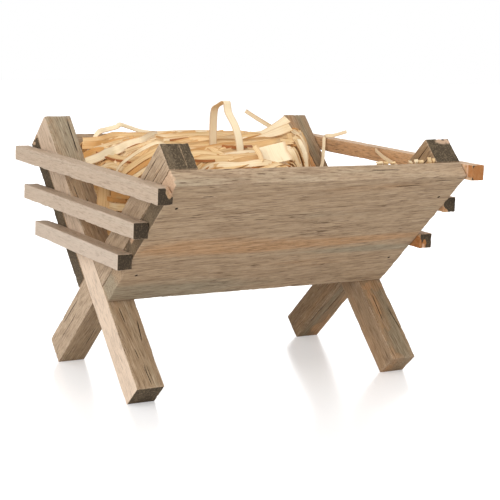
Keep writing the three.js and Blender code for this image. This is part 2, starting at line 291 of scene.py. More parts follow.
def around(centre: float, size: float, samples: tuple[float, ...]) -> list[float]:
    """Lists the places on both sides of a centre at the given multiples of a size."""
    return [centre + sign * size * sample for sample in samples for sign in (-1, 1)]


@dataclass
class Timber:
    """One sawn piece: a box with eased, knocked arrises, long grain relief, cracks and holes.

    The box lies in the piece's own millimetres between low and high, with the grain along one axis.
    """

    low: Array
    high: Array
    grain_axis: int
    seed: int
    steps: Triple = (1.1, 1.1, 1.1)
    ease: float = 0.7
    splits: tuple[Split, ...] = ()
    holes: tuple[Hole, ...] = ()
    stains: tuple[Stain, ...] = ()
    patches: tuple[Patch, ...] = ()
    # How much each face is lightened: partly sun bleaching, partly painted light on the faces that the light
    # falls on.
    bleach_and_painted_light: dict[tuple[int, Side], float] = field(default_factory=dict)
    fade: tuple[float, float] = (500.0, 600.0)
    extra: tuple[tuple[float, ...], ...] = ((), (), ())
    pith: tuple[float, float] = (34.0, -21.0)

    ARRIS_SAMPLES = (0.0, 0.12, 0.35, 0.7, 1.15)
    HOLE_SAMPLES = (0.0, 0.45, 0.8, 1.0, 1.2, 1.5)
    SPLIT_SAMPLES = (0.0, 0.5, 1.0, 1.7)
    SPLIT_PULL = 3.0
    SPLIT_TAPER = 0.35
    SPLIT_SHARPNESS = 1.4
    LEAST_GAP = 0.3
    FACE_TOLERANCE = 1e-3
    EASE_PLAY = 0.45
    RIDGE_SIZE = (31.0, 0.95)
    RIDGE_DEPTH = 0.07
    FIBRE_SIZE = (9.0, 0.5)
    FIBRE_DEPTH = 0.035
    WAVE_SIZE = (57.0, 13.0)
    WAVE_DEPTH = 0.12
    KNOCK_SIZE = (6.0, 3.1)
    KNOCK_LEVEL = 0.30
    KNOCK_DEPTH = 1.1
    CHIP_SIZE = (2.6, 1.7)
    CHIP_LEVEL = 0.42
    CHIP_DEPTH = 0.9
    PATCH_EDGE = (0.78, 1.04)
    BLEACH_AND_LIGHT_TURN = (0.4, 0.9)
    ARRIS_REACH = 0.9
    WEAR_REACH = 1.3
    END_DEPTH = 0.16
    HOLE_STAIN = 0.45
    FADED_SHARE = 0.38
    RAGGEDNESS = 0.42
    LOG_SPACING = 977.0

    def stations(self, axis: int) -> Array:
        """Places the planes along one axis: even steps, closer ones by the arrises, cracks and holes.

        Args:
            axis: Number of the axis.

        Returns:
            The places, rising.
        """
        low, high = float(self.low[axis]), float(self.high[axis])
        count = max(2, round((high - low) / self.steps[axis]))
        places = np.linspace(low, high, count + 1)
        close = [low + sample for sample in self.ARRIS_SAMPLES]
        close += [high - sample for sample in self.ARRIS_SAMPLES]
        for hole in self.holes:
            centre = (hole.x, hole.y, None)[axis]
            if centre is not None:
                close += around(centre, hole.radius, self.HOLE_SAMPLES)
        for split in self.splits:
            if axis not in (split.axis, self.grain_axis):
                close += around(split.across, split.width, self.SPLIT_SAMPLES)
        close += self.extra[axis]
        close = np.unique(np.round([place for place in close if low <= place <= high], 4))
        gap = np.min(np.abs(places[:, None] - close[None, :]), axis=1)
        return np.unique(np.concatenate([places[gap > self.LEAST_GAP], close]))

    def across_axis(self, axis: int) -> int:
        """Names the axis that lies across the grain in the face that is square to the given axis."""
        return 3 - axis - self.grain_axis

    def on_face(self, points: Array, axis: int, side: Side) -> Array:
        """Tells which points lie on one face of the box."""
        place = self.low[axis] if side is Side.LOW else self.high[axis]
        return np.abs(points[:, axis] - place) < self.FACE_TOLERANCE

    def ordered(self, along: float, across: float) -> Triple:
        """Puts a size along the grain and one across it in the order of the piece's own axes."""
        return tuple(along if axis == self.grain_axis else across for axis in range(3))

    def from_arris(self, points: Array) -> Array:
        """Distance to the nearest arris: the second smallest of the distances to the faces."""
        return np.sort(np.minimum(points - self.low, self.high - points), axis=1)[:, 1]

    def end_grain(self, outward: Array) -> Array:
        """Share of end grain: the fourth power of how far the surface faces along the grain."""
        return np.abs(outward[:, self.grain_axis]) ** 4

    def shape(self) -> Shell:
        """Builds the surface.

        Each point is drawn in to a smaller box and pushed out again by the easing radius, which
        rounds every arris. It then sinks along its own normal by the relief, cracks and holes.

        Returns:
            The closed surface with its grain, marks and finish attributes.
        """
        points, quads = box_lattice([self.stations(axis) for axis in range(3)])
        noise = Noise(self.seed)
        flat = points.copy()
        for split in self.splits:
            self.follow_split(points, flat, split)
        radius = self.ease * (1.0 + self.EASE_PLAY * noise.at(points, self.ordered(26.0, 9.0)))
        inner = np.clip(points, self.low + radius[:, None], self.high - radius[:, None])
        outward = points - inner
        outward /= np.linalg.norm(outward, axis=1)[:, None]
        sink = self.relief(points, outward, noise)
        hollow = self.cut_in(flat, sink)
        final = inner + outward * radius[:, None] - outward * sink[:, None]
        shell = Shell(final, quads)
        shell.marks["grain"] = self.grain_places(final, noise)
        shell.marks.update(self.weather(points, outward, hollow, noise))
        return shell

    def relief(self, points: Array, outward: Array, noise: Noise) -> Array:
        """Sums the grain's ridges and fibres, slow waves, knocks and chips by the arrises.

        Ridges, fibres and waves are a half less half the noise. Knocks and chips are what rises over
        a level, and die away from the arris by an exponential.

        Args:
            points: Places on the box.
            outward: The surface's normals.
            noise: The piece's noise.

        Returns:
            The depth at each point.
        """
        ridges = 0.5 - 0.5 * noise.at(points, self.ordered(*self.RIDGE_SIZE))
        fibres = 0.5 - 0.5 * noise.at(points + 50, self.ordered(*self.FIBRE_SIZE))
        waves = 0.5 - 0.5 * noise.at(points, self.ordered(*self.WAVE_SIZE))
        knocks = noise.at(points, self.ordered(*self.KNOCK_SIZE))
        chips = noise.at(points + 90, self.ordered(*self.CHIP_SIZE))
        knocks = np.clip(knocks - self.KNOCK_LEVEL, 0, 1)
        chips = np.clip(chips - self.CHIP_LEVEL, 0, 1)
        near_arris = np.exp(-self.from_arris(points) / self.ARRIS_REACH)
        sink = self.RIDGE_DEPTH * ridges + self.FIBRE_DEPTH * fibres + self.WAVE_DEPTH * waves
        sink += near_arris * (self.KNOCK_DEPTH * knocks + self.CHIP_DEPTH * chips)
        return sink + self.end_grain(outward) * self.END_DEPTH * fibres

    def cut_in(self, flat: Array, sink: Array) -> Array:
        """Deepens the sinking by the cracks and holes.

        Args:
            flat: Places on the box, before any crack pulls them.
            sink: Depth at each point, which grows.

        Returns:
            How hollow each point is, from 0 to 1.
        """
        # The hollow share is painted dark: painted shade inside cracks and holes, and a stain round each
        # hole.
        hollow = np.zeros(len(flat))
        for split in self.splits:
            groove = self.groove(flat, split)
            sink += split.depth * groove
            hollow = np.maximum(hollow, groove)
        on_face = self.on_face(flat, 2, Side.HIGH)
        for hole in self.holes:
            away = np.hypot(flat[:, 0] - hole.x, flat[:, 1] - hole.y)
            inside = on_face * (1 - smooth_rise(away, hole.radius * 0.9, hole.radius * 1.18))
            sink += hole.depth * inside
            stained = on_face * (1 - smooth_rise(away, hole.radius, hole.radius * 1.6))
            hollow = np.maximum(hollow, np.maximum(inside, self.HOLE_STAIN * stained))
        return hollow

    def weather(self, points: Array, outward: Array, hollow: Array, noise: Noise) -> dict[str, Array]:
        """Works out the finish's numbers at each point.

        A stain is a bell across its line and along it. Bleach and painted light cover the faces that
        they are given for and fade along the piece: those faces are lighter partly by weathering and
        partly as painted light where the lamps fall. A patch is a ball whose distance has noise added.

        Args:
            points: Places on the box.
            outward: The surface's normals.
            hollow: How hollow each point is.
            noise: The piece's noise.

        Returns:
            The marks (dark end grain, hollow with its painted shade, fresh wood) and the finish (tone,
            bleach with painted light, wear).
        """
        along = points[:, self.grain_axis]
        tone = np.zeros(len(points))
        for stain in self.stains:
            centre = stain.across + stain.slant * (along - stain.along)
            off = (points[:, stain.axis] - centre) / stain.half_width
            reach = (along - stain.along) / stain.reach
            tone += stain.strength * np.exp(-off ** 2 - reach ** 2)
        bleach_and_painted_light = np.zeros(len(points))
        for (axis, side), amount in self.bleach_and_painted_light.items():
            sign = -1 if side is Side.LOW else 1
            bleach_and_painted_light = np.maximum(bleach_and_painted_light, amount * smooth_rise(sign * outward[:, axis], *self.BLEACH_AND_LIGHT_TURN))
        bleach_and_painted_light *= 1 - self.FADED_SHARE * smooth_rise(along, *self.fade)
        wear = np.exp(-self.from_arris(points) / self.WEAR_REACH)
        fresh = np.zeros(len(points))
        dark_end = self.end_grain(outward)
        ragged = self.RAGGEDNESS * noise.at(points + 20, (2.6, 2.6, 2.6))
        for patch in self.patches:
            away = np.linalg.norm((points - np.array(patch.centre)) / np.array(patch.radii), axis=1)
            mask = 1 - smooth_rise(away + ragged, *self.PATCH_EDGE)
            fresh = np.maximum(fresh, patch.fresh * mask)
            tone += patch.tone * mask
            dark_end *= 1 - patch.bare * mask
            hollow = np.maximum(hollow, patch.dark * mask)
        return {
            "marks": np.stack([dark_end, hollow, fresh], axis=1),
            "finish": np.stack([tone, bleach_and_painted_light, wear], axis=1),
        }

    def grain_places(self, points: Array, noise: Noise) -> Array:
        """Gives each point its place in the log: along the grain and two distances from the pith.

        Args:
            points: Places on the finished surface.
            noise: The piece's noise, which lets the grain drift.

        Returns:
            The places, one row each. Each seed has its own stretch of log.
        """
        second, third = (axis for axis in range(3) if axis != self.grain_axis)
        middle = (self.low + self.high) / 2
        drift = 1.6 * noise.at(points, self.ordered(70.0, 40.0))
        return np.stack([
            points[:, self.grain_axis] + self.LOG_SPACING * (self.seed % 17),
            points[:, second] - middle[second] + self.pith[0] + drift,
            points[:, third] - middle[third] + self.pith[1],
        ], axis=1)

    def follow_split(self, points: Array, flat: Array, split: Split) -> None:
        """Pulls the planes beside a slanting crack along with it, by a bell across the grain.

        Args:
            points: Places on the box, which move.
            flat: The same places, unmoved.
            split: The crack.
        """
        lateral = self.across_axis(split.axis)
        half = (split.end - split.start) / 2
        middle = (split.start + split.end) / 2
        pull = np.exp(-((flat[:, lateral] - split.across) / self.SPLIT_PULL) ** 2)
        reach = np.clip(flat[:, self.grain_axis] - middle, -half, half)
        points[:, lateral] += split.slant * reach * pull * self.on_face(flat, split.axis, split.side)

    def groove(self, flat: Array, split: Split) -> Array:
        """Depth share of a crack: a bell across it times smooth rises from both its ends.

        Args:
            flat: Places on the box, before any crack pulls them.
            split: The crack.

        Returns:
            The share at each point, from 0 to 1.
        """
        taper = self.SPLIT_TAPER * (split.end - split.start)
        along = flat[:, self.grain_axis]
        rising = smooth_rise(along, split.start, split.start + taper)
        falling = 1 - smooth_rise(along, split.end - taper, split.end)
        across = (flat[:, self.across_axis(split.axis)] - split.across) / split.width
        bell = np.exp(-across ** 2 * self.SPLIT_SHARPNESS)
        return bell * (rising * falling) * self.on_face(flat, split.axis, split.side)


def leaning(points: Array, crossing: float, centre_x: float, is_front: bool) -> Array:
    """Takes points from a leg's own frame to the object's.

    X stays, Y runs up the leg and Z out of its lower face. Both turn by the lean of 45 degrees: Y
    goes forwards and up, Z forwards and down. The back half is the front half turned half round.

    Args:
        points: Places in the leg's frame.
        crossing: Height at which the legs cross.
        centre_x: Place of the leg's middle plane.
        is_front: Whether the piece leans forwards.

    Returns:
        Places in the object's frame.
    """
    turn = 1 if is_front else -1
    x = centre_x + turn * points[:, 0]
    y = -turn * LEAN_SHARE * (points[:, 1] + points[:, 2])
    z = crossing + LEAN_SHARE * (points[:, 1] - points[:, 2])
    return np.stack([x, y, z], axis=1)


@dataclass(frozen=True)
class Trough:
    """The driving places of the body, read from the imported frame, in millimetres."""

    leg_half: float
    frame_half: float
    crossing: float
    leg_reach: float
    leg_foot: float
    board_inner: float
    board_outer: float
    board_start: float
    strip_top: float

    @classmethod
    def from_frame(cls) -> "Trough":
        """Works the places out from the boxes of a leg, a board and the floor strip.

        At a lean of 45 degrees a box's sides are sums and differences of the places in the leg's
        own frame, so each place is half a sum, over the cosine of the lean.

        Returns:
            The trough.
        """
        leg_low, leg_high = node_box("left_leg_leaning_front")
        board_low, board_high = node_box("front_board")
        strip_high = node_box("floor_strip")[1]
        leg_half = (leg_high[0] - leg_low[0]) / 2
        crossing = leg_high[2] + leg_low[1]
        reach = -leg_low[1] / LEAN_SHARE - leg_half
        inner = reach - (board_high[2] - crossing) / LEAN_SHARE
        return cls(
            leg_half=leg_half,
            frame_half=board_high[0],
            crossing=crossing,
            leg_reach=reach,
            leg_foot=leg_high[1] / LEAN_SHARE - leg_half,
            board_inner=inner,
            board_outer=-board_low[1] / LEAN_SHARE - reach,
            board_start=-board_high[1] / LEAN_SHARE - inner,
            strip_top=strip_high[2],
        )

    @property
    def leg_centre(self) -> float:
        """Distance of each frame's middle plane from the middle of the object."""
        return self.frame_half - self.leg_half

    @property
    def edge_height(self) -> float:
        """Height of the boards' upper inner edges."""
        return self.crossing + LEAN_SHARE * (self.leg_reach - self.board_inner)

    @property
    def edge_half(self) -> float:
        """Half the width between the boards' upper inner edges."""
        return self.wall(self.edge_height, self.board_inner)

    def wall(self, height: Array | float, offset: float) -> Array | float:
        """Half the width at a height between two faces at an offset from the legs' middle planes."""
        return offset / LEAN_SHARE + height - self.crossing


class Signal:
    """A shader socket that takes part in sums."""

    def __init__(self, shader: "Shader", socket: bpy.types.NodeSocket) -> None:
        """Wraps a socket of the shader's node tree."""
        self.shader = shader
        self.socket = socket

    def combine(self, operation: str, first: "Signal | float", second: "Signal | float") -> "Signal":
        """Adds a Math node with two inputs and gives its output."""
        return self.shader.value("ShaderNodeMath", {"operation": operation}, {0: first, 1: second})

    def __add__(self, other: "Signal | float") -> "Signal":
        """Sum."""
        return self.combine("ADD", self, other)

    def __radd__(self, other: float) -> "Signal":
        """Sum with a number on the left."""
        return self.combine("ADD", other, self)

    def __sub__(self, other: "Signal | float") -> "Signal":
        """Difference."""
        return self.combine("SUBTRACT", self, other)

    def __rsub__(self, other: float) -> "Signal":
        """Difference with a number on the left."""
        return self.combine("SUBTRACT", other, self)

    def __mul__(self, other: "Signal | float") -> "Signal":
        """Product."""
        return self.combine("MULTIPLY", self, other)

    def __truediv__(self, other: "Signal | float") -> "Signal":
        """Quotient."""
        return self.combine("DIVIDE", self, other)

    def remainder(self) -> "Signal":
        """What is left after the whole number."""
        return self.combine("FRACT", self, 0.0)

    def rise(self, low: float, high: float) -> "Signal":
        """Rises smoothly from 0 at low to 1 at high, or falls where low is the greater.

        Args:
            low: Where the result is 0.
            high: Where it is 1.

        Returns:
            The result.
        """
        first, last = (0.0, 1.0) if low < high else (1.0, 0.0)
        return self.shader.value("ShaderNodeMapRange", {"interpolation_type": "SMOOTHSTEP"}, {
            "Value": self, "From Min": min(low, high), "From Max": max(low, high),
            "To Min": first, "To Max": last,
        })


Inputs = dict[str | int, object]


class Shader:
    """The node tree of a material or a world, built by code."""

    def __init__(self, owner: bpy.types.ID) -> None:
        """Empties the owner's node tree.

        Args:
            owner: The material or world.
        """
        owner.use_nodes = True
        self.owner = owner
        self.tree = owner.node_tree
        self.tree.nodes.clear()

    def add(self, kind: str, settings: dict[str, object], inputs: Inputs) -> bpy.types.Node:
        """Adds one node.

        Args:
            kind: The node's type.
            settings: Its own settings, set first.
            inputs: Values or signals for its sockets, by name or number.

        Returns:
            The node.
        """
        node = self.tree.nodes.new(kind)
        for name, setting in settings.items():
            setattr(node, name, setting)
        for key, given in inputs.items():
            if isinstance(given, Signal):
                self.tree.links.new(given.socket, node.inputs[key])
            else:
                node.inputs[key].default_value = given
        return node

    def value(self, kind: str, settings: dict[str, object], inputs: Inputs, output: str | int = 0) -> Signal:
        """Adds one node and gives one of its outputs."""
        return Signal(self, self.add(kind, settings, inputs).outputs[output])

    def attribute(self, name: str) -> Signal:
        """Reads a vector attribute of the surface."""
        return self.value("ShaderNodeAttribute", {"attribute_name": name}, {}, "Vector")

    def parts(self, vector: Signal) -> tuple[Signal, Signal, Signal]:
        """Splits a vector into its three numbers."""
        node = self.add("ShaderNodeSeparateXYZ", {}, {0: vector})
        return tuple(Signal(self, output) for output in node.outputs)

    def stretched(self, vector: Signal, factors: Triple) -> Signal:
        """Multiplies a vector by a factor along each axis."""
        return self.value("ShaderNodeVectorMath", {"operation": "MULTIPLY"}, {0: vector, 1: factors})

    def noise(self, vector: Signal, factors: Triple, detail: float = 2.0, roughness: float = 0.55) -> Signal:
        """Makes cloudy noise between 0 and 1.

        Args:
            vector: Place in the noise.
            factors: Stretch along each axis.
            detail: Number of finer octaves.
            roughness: Strength of each octave over the last.

        Returns:
            The noise.
        """
        place = self.stretched(vector, factors)
        inputs = {"Vector": place, "Scale": 1.0, "Detail": detail, "Roughness": roughness}
        return self.value("ShaderNodeTexNoise", {}, inputs)

    def mix(self, factor: Signal | float, first: Signal | Colour, second: Signal | Colour) -> Signal:
        """Mixes two colours."""
        settings = {"data_type": "RGBA", "clamp_factor": True}
        return self.value("ShaderNodeMix", settings, {0: factor, 6: first, 7: second}, 2)

    def layered(self, base: Signal | Colour, *coats: tuple[Signal | float, Signal | Colour]) -> Signal:
        """Mixes coats over a colour in turn.

        Args:
            base: The colour underneath.
            *coats: Factor and colour of each coat.

        Returns:
            The mixed colour.
        """
        for factor, coat in coats:
            base = self.mix(factor, base, coat)
        return base

    def surface(self, inputs: Inputs, height: Signal, strength: float, distance: float) -> None:
        """Ends the tree with a Principled surface over a bump.

        Args:
            inputs: Values or signals for the Principled node.
            height: Height of the relief.
            strength: Strength of the bump.
            distance: Height in metres that a height of one stands for.
        """
        relief = {"Strength": strength, "Distance": distance, "Height": height}
        normal = self.value("ShaderNodeBump", {}, relief)
        shader = self.value("ShaderNodeBsdfPrincipled", {}, {**inputs, "Normal": normal})
        self.add("ShaderNodeOutputMaterial", {}, {"Surface": shader})


@dataclass(frozen=True)
class WeatheredWood:
    """Sawn softwood, weathered: soft bands, fine mottling, short dark dashes and dark end grain."""

    plain: Colour = paint(176, 149, 120)
    deep: Colour = paint(138, 111, 83)
    warm: Colour = paint(194, 148, 103)
    grey: Colour = paint(158, 146, 122)
    pale: Colour = paint(216, 194, 172)
    line: Colour = paint(92, 68, 48)
    end: Colour = paint(74, 61, 44)
    end_pale: Colour = paint(132, 114, 88)
    fresh: Colour = paint(236, 198, 166)
    torn: Colour = paint(172, 110, 58)
    # Colour of the painted shade in cracks and holes, of stains round holes and of pores in end grain.
    hollow: Colour = paint(40, 29, 20)
    dashes: float = 1.0
    contrast: float = 1.0
    worn: float = 0.4
    grain_slant: float = 0.06
    ring_drift: float = 7.0
    ring_width: float = 3.9

    def dress(self, name: str) -> bpy.types.Material:
        """Builds the material.

        The growth rings are the remainder of the distance from the pith, drifted by the slow bands,
        over the ring's width. Each coat of colour is laid where its noise passes a level.

        Args:
            name: The material's name.

        Returns:
            The material.
        """
        shader = Shader(bpy.data.materials.new(name))
        grain = shader.attribute("grain")
        along, side, depth = shader.parts(grain)
        slid = side - along * self.grain_slant
        slanted = shader.value("ShaderNodeCombineXYZ", {}, {0: along, 1: slid, 2: depth})
        end, hollow, fresh = shader.parts(shader.attribute("marks"))
        tone, bleach_and_painted_light, wear = shader.parts(shader.attribute("finish"))

        band = shader.noise(grain, (0.006, 0.075, 0.075), 2.0)
        streak = shader.noise(slanted, (0.02, 0.24, 0.24), 3.0)
        fibre = shader.noise(slanted, (0.085, 1.15, 1.15), 3.0, 0.65)
        mottle = shader.noise(grain, (0.16, 0.45, 0.45), 4.0, 0.62)
        dash = shader.noise(slanted, (0.085, 0.9, 0.9), 1.5)
        crowd = shader.noise(grain, (0.018, 0.05, 0.05), 1.0)
        hair = shader.noise(slanted, (0.09, 1.7, 1.7), 2.0, 0.7)
        speck = shader.noise(grain, (0.9, 0.9, 0.9), 3.0, 0.65)
        sideways = {0: shader.stretched(slanted, (0.0, 1.0, 1.0))}
        from_pith = shader.value("ShaderNodeVectorMath", {"operation": "LENGTH"}, sideways, "Value")
        ring = ((from_pith + band * self.ring_drift) / self.ring_width).remainder()
        late = ring.rise(0.5, 0.93) * ring.rise(1.0, 0.95) * streak.rise(0.36, 0.62)
        marked = dash + (crowd - 0.5) * 0.35

        mood = tone + (streak - 0.5) * 0.7 + (band - 0.5) * 1.1
        unbleached_unlit_share = 1.0 - bleach_and_painted_light * 0.45
        colour = shader.layered(
            self.plain,
            (streak.rise(0.4, 0.7) * 0.35 * self.contrast, self.deep),
            (mood.rise(0.12, 0.9) * 0.72, self.warm),
            (mood.rise(-0.12, -0.7) * 0.8, self.grey),
            # Partly painted light: the faces given bleach are lightened both for weathering and for the
            # light that falls on them.
            (bleach_and_painted_light, self.pale),
            (mottle.rise(0.52, 0.74) * 0.42 * unbleached_unlit_share * self.contrast, self.deep),
            (mottle.rise(0.44, 0.26) * 0.14, self.pale),
            (speck.rise(0.5, 0.75) * 0.14 * unbleached_unlit_share, self.deep),
            (late * 0.2 * unbleached_unlit_share * self.contrast, self.line),
            (fibre.rise(0.49, 0.7) * 0.58 * unbleached_unlit_share * self.contrast, self.line),
            (fibre.rise(0.46, 0.3) * 0.3, self.pale),
            (hair.rise(0.53, 0.74) * 0.5 * unbleached_unlit_share, self.line),
            (wear * speck.rise(0.42, 0.62) * self.worn, self.pale),
            (marked.rise(0.66, 0.75) * 0.85 * self.dashes * (1.0 - bleach_and_painted_light * 0.8), self.line),
        )
        cut = shader.layered(
            self.end,
            (speck.rise(0.46, 0.72) * 0.8 + band.rise(0.5, 0.75) * 0.3, self.end_pale),
            (speck.rise(0.42, 0.28) * 0.5, self.hollow),
        )
        colour = shader.layered(
            colour,
            (end.rise(0.2, 0.6), cut),
            (tone.rise(1.9, 2.4) * (0.4 + mottle * 0.9), self.torn),
            (fresh * (0.55 + speck * 0.8), self.fresh),
            # Painted shade: cracks and holes go dark as the shade inside them. The rings round holes and the
            # dark spots are stains.
            (hollow.rise(0.1, 0.6), self.hollow),
        )
        height = fibre * 0.5 + hair * 0.25 + mottle * 0.4 - marked.rise(0.64, 0.76) * 0.9 - late * 0.15
        roughness = 0.74 + fibre * 0.12 + hollow * 0.1
        finish = {"Base Color": colour, "Roughness": roughness, "Specular IOR Level": 0.3}
        shader.surface(finish, height, 0.5, 0.0004)
        return shader.owner


@dataclass(frozen=True)
class StrawFinish:
    """Flat wood straw: pale, ribbed lengthwise, each strip with a tint, with painted shadow along its long
    edges, partly their frayed brown edges, and painted shade on its undersides.
    """

    pale: Colour = paint(244, 224, 187)
    cream: Colour = paint(232, 197, 143)
    gold: Colour = paint(214, 157, 90)
    shadow: Colour = paint(158, 92, 42)
    green: Colour = paint(216, 204, 152)
    rib_and_edge_shadow: Colour = paint(184, 126, 66)
    strip_step: float = 40.0

    def dress(self, name: str) -> bpy.types.Material:
        """Builds the material.

        Args:
            name: The material's name.

        Returns:
            The material.
        """
        shader = Shader(bpy.data.materials.new(name))
        strip = shader.attribute("strip")
        edge_shadow, under, tint = shader.parts(shader.attribute("lay"))
        ribs = shader.noise(strip, (0.02, 1.5, self.strip_step), 2.0)
        fine = shader.noise(strip, (0.07, 5.0, self.strip_step), 2.0)
        cloud = shader.noise(strip, (0.04, 0.2, self.strip_step), 2.0)
        # Painted shade: the undersides of the strips are darker.
        shade = tint + under * 0.25 + (cloud - 0.5) * 0.7
        lined = shade.rise(-0.3, 0.5) * 0.85 + 0.12
        colour = shader.layered(
            self.pale,
            (shade.rise(0.0, 0.5), self.cream),
            (shade.rise(0.5, 1.0), self.gold),
            (shade.rise(1.0, 1.45), self.shadow),
            (cloud.rise(0.6, 0.75) * 0.25, self.green),
            (ribs.rise(0.5, 0.7) * 0.5 * lined, self.rib_and_edge_shadow),
            (fine.rise(0.52, 0.72) * 0.42 * lined, self.rib_and_edge_shadow),
            # Painted shadow along the strips' long edges, partly their frayed brown edges.
            (edge_shadow.rise(0.72, 0.98) * 0.5, self.rib_and_edge_shadow),
        )
        finish = {"Base Color": colour, "Roughness": 0.55 + ribs * 0.16, "Specular IOR Level": 0.3}
        shader.surface(finish, ribs * 0.7 + fine * 0.3, 0.5, 0.0003)
        return shader.owner


@dataclass(frozen=True)
class BradFinish:
    """Dulled steel with brown spots."""

    steel: Colour = paint(96, 88, 78)
    rust: Colour = paint(70, 48, 32)
    spots_per_metre: float = 2200.0

    def dress(self, name: str) -> bpy.types.Material:
        """Builds the material.

        Args:
            name: The material's name.

        Returns:
            The material.
        """
        shader = Shader(bpy.data.materials.new(name))
        place = shader.value("ShaderNodeTexCoord", {}, {}, "Object")
        spots = shader.noise(place, (self.spots_per_metre,) * 3, 3.0)
        rusty = spots.rise(0.42, 0.62)
        colour = shader.mix(rusty, self.steel, self.rust)
        finish = {"Base Color": colour, "Roughness": 0.42 + rusty * 0.4, "Metallic": 0.9 - rusty * 0.7}
        shader.surface(finish, spots, 0.4, 0.00008)
        return shader.owner


def settle(piece: bpy.types.Object, slot: Slot, *nodes: str) -> None:
    """Ties a new piece to the body, hides the CAD nodes that it stands for and logs its triangles.

    Args:
        piece: The new piece.
        slot: Not used.
        *nodes: The CAD nodes that it replaces.
    """
    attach(piece, BODY)
    if nodes:
        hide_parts(*nodes)
    triangles = sum(len(polygon.vertices) - 2 for polygon in piece.data.polygons)
    LOG.info("%s: %d triangles", piece.name, triangles)


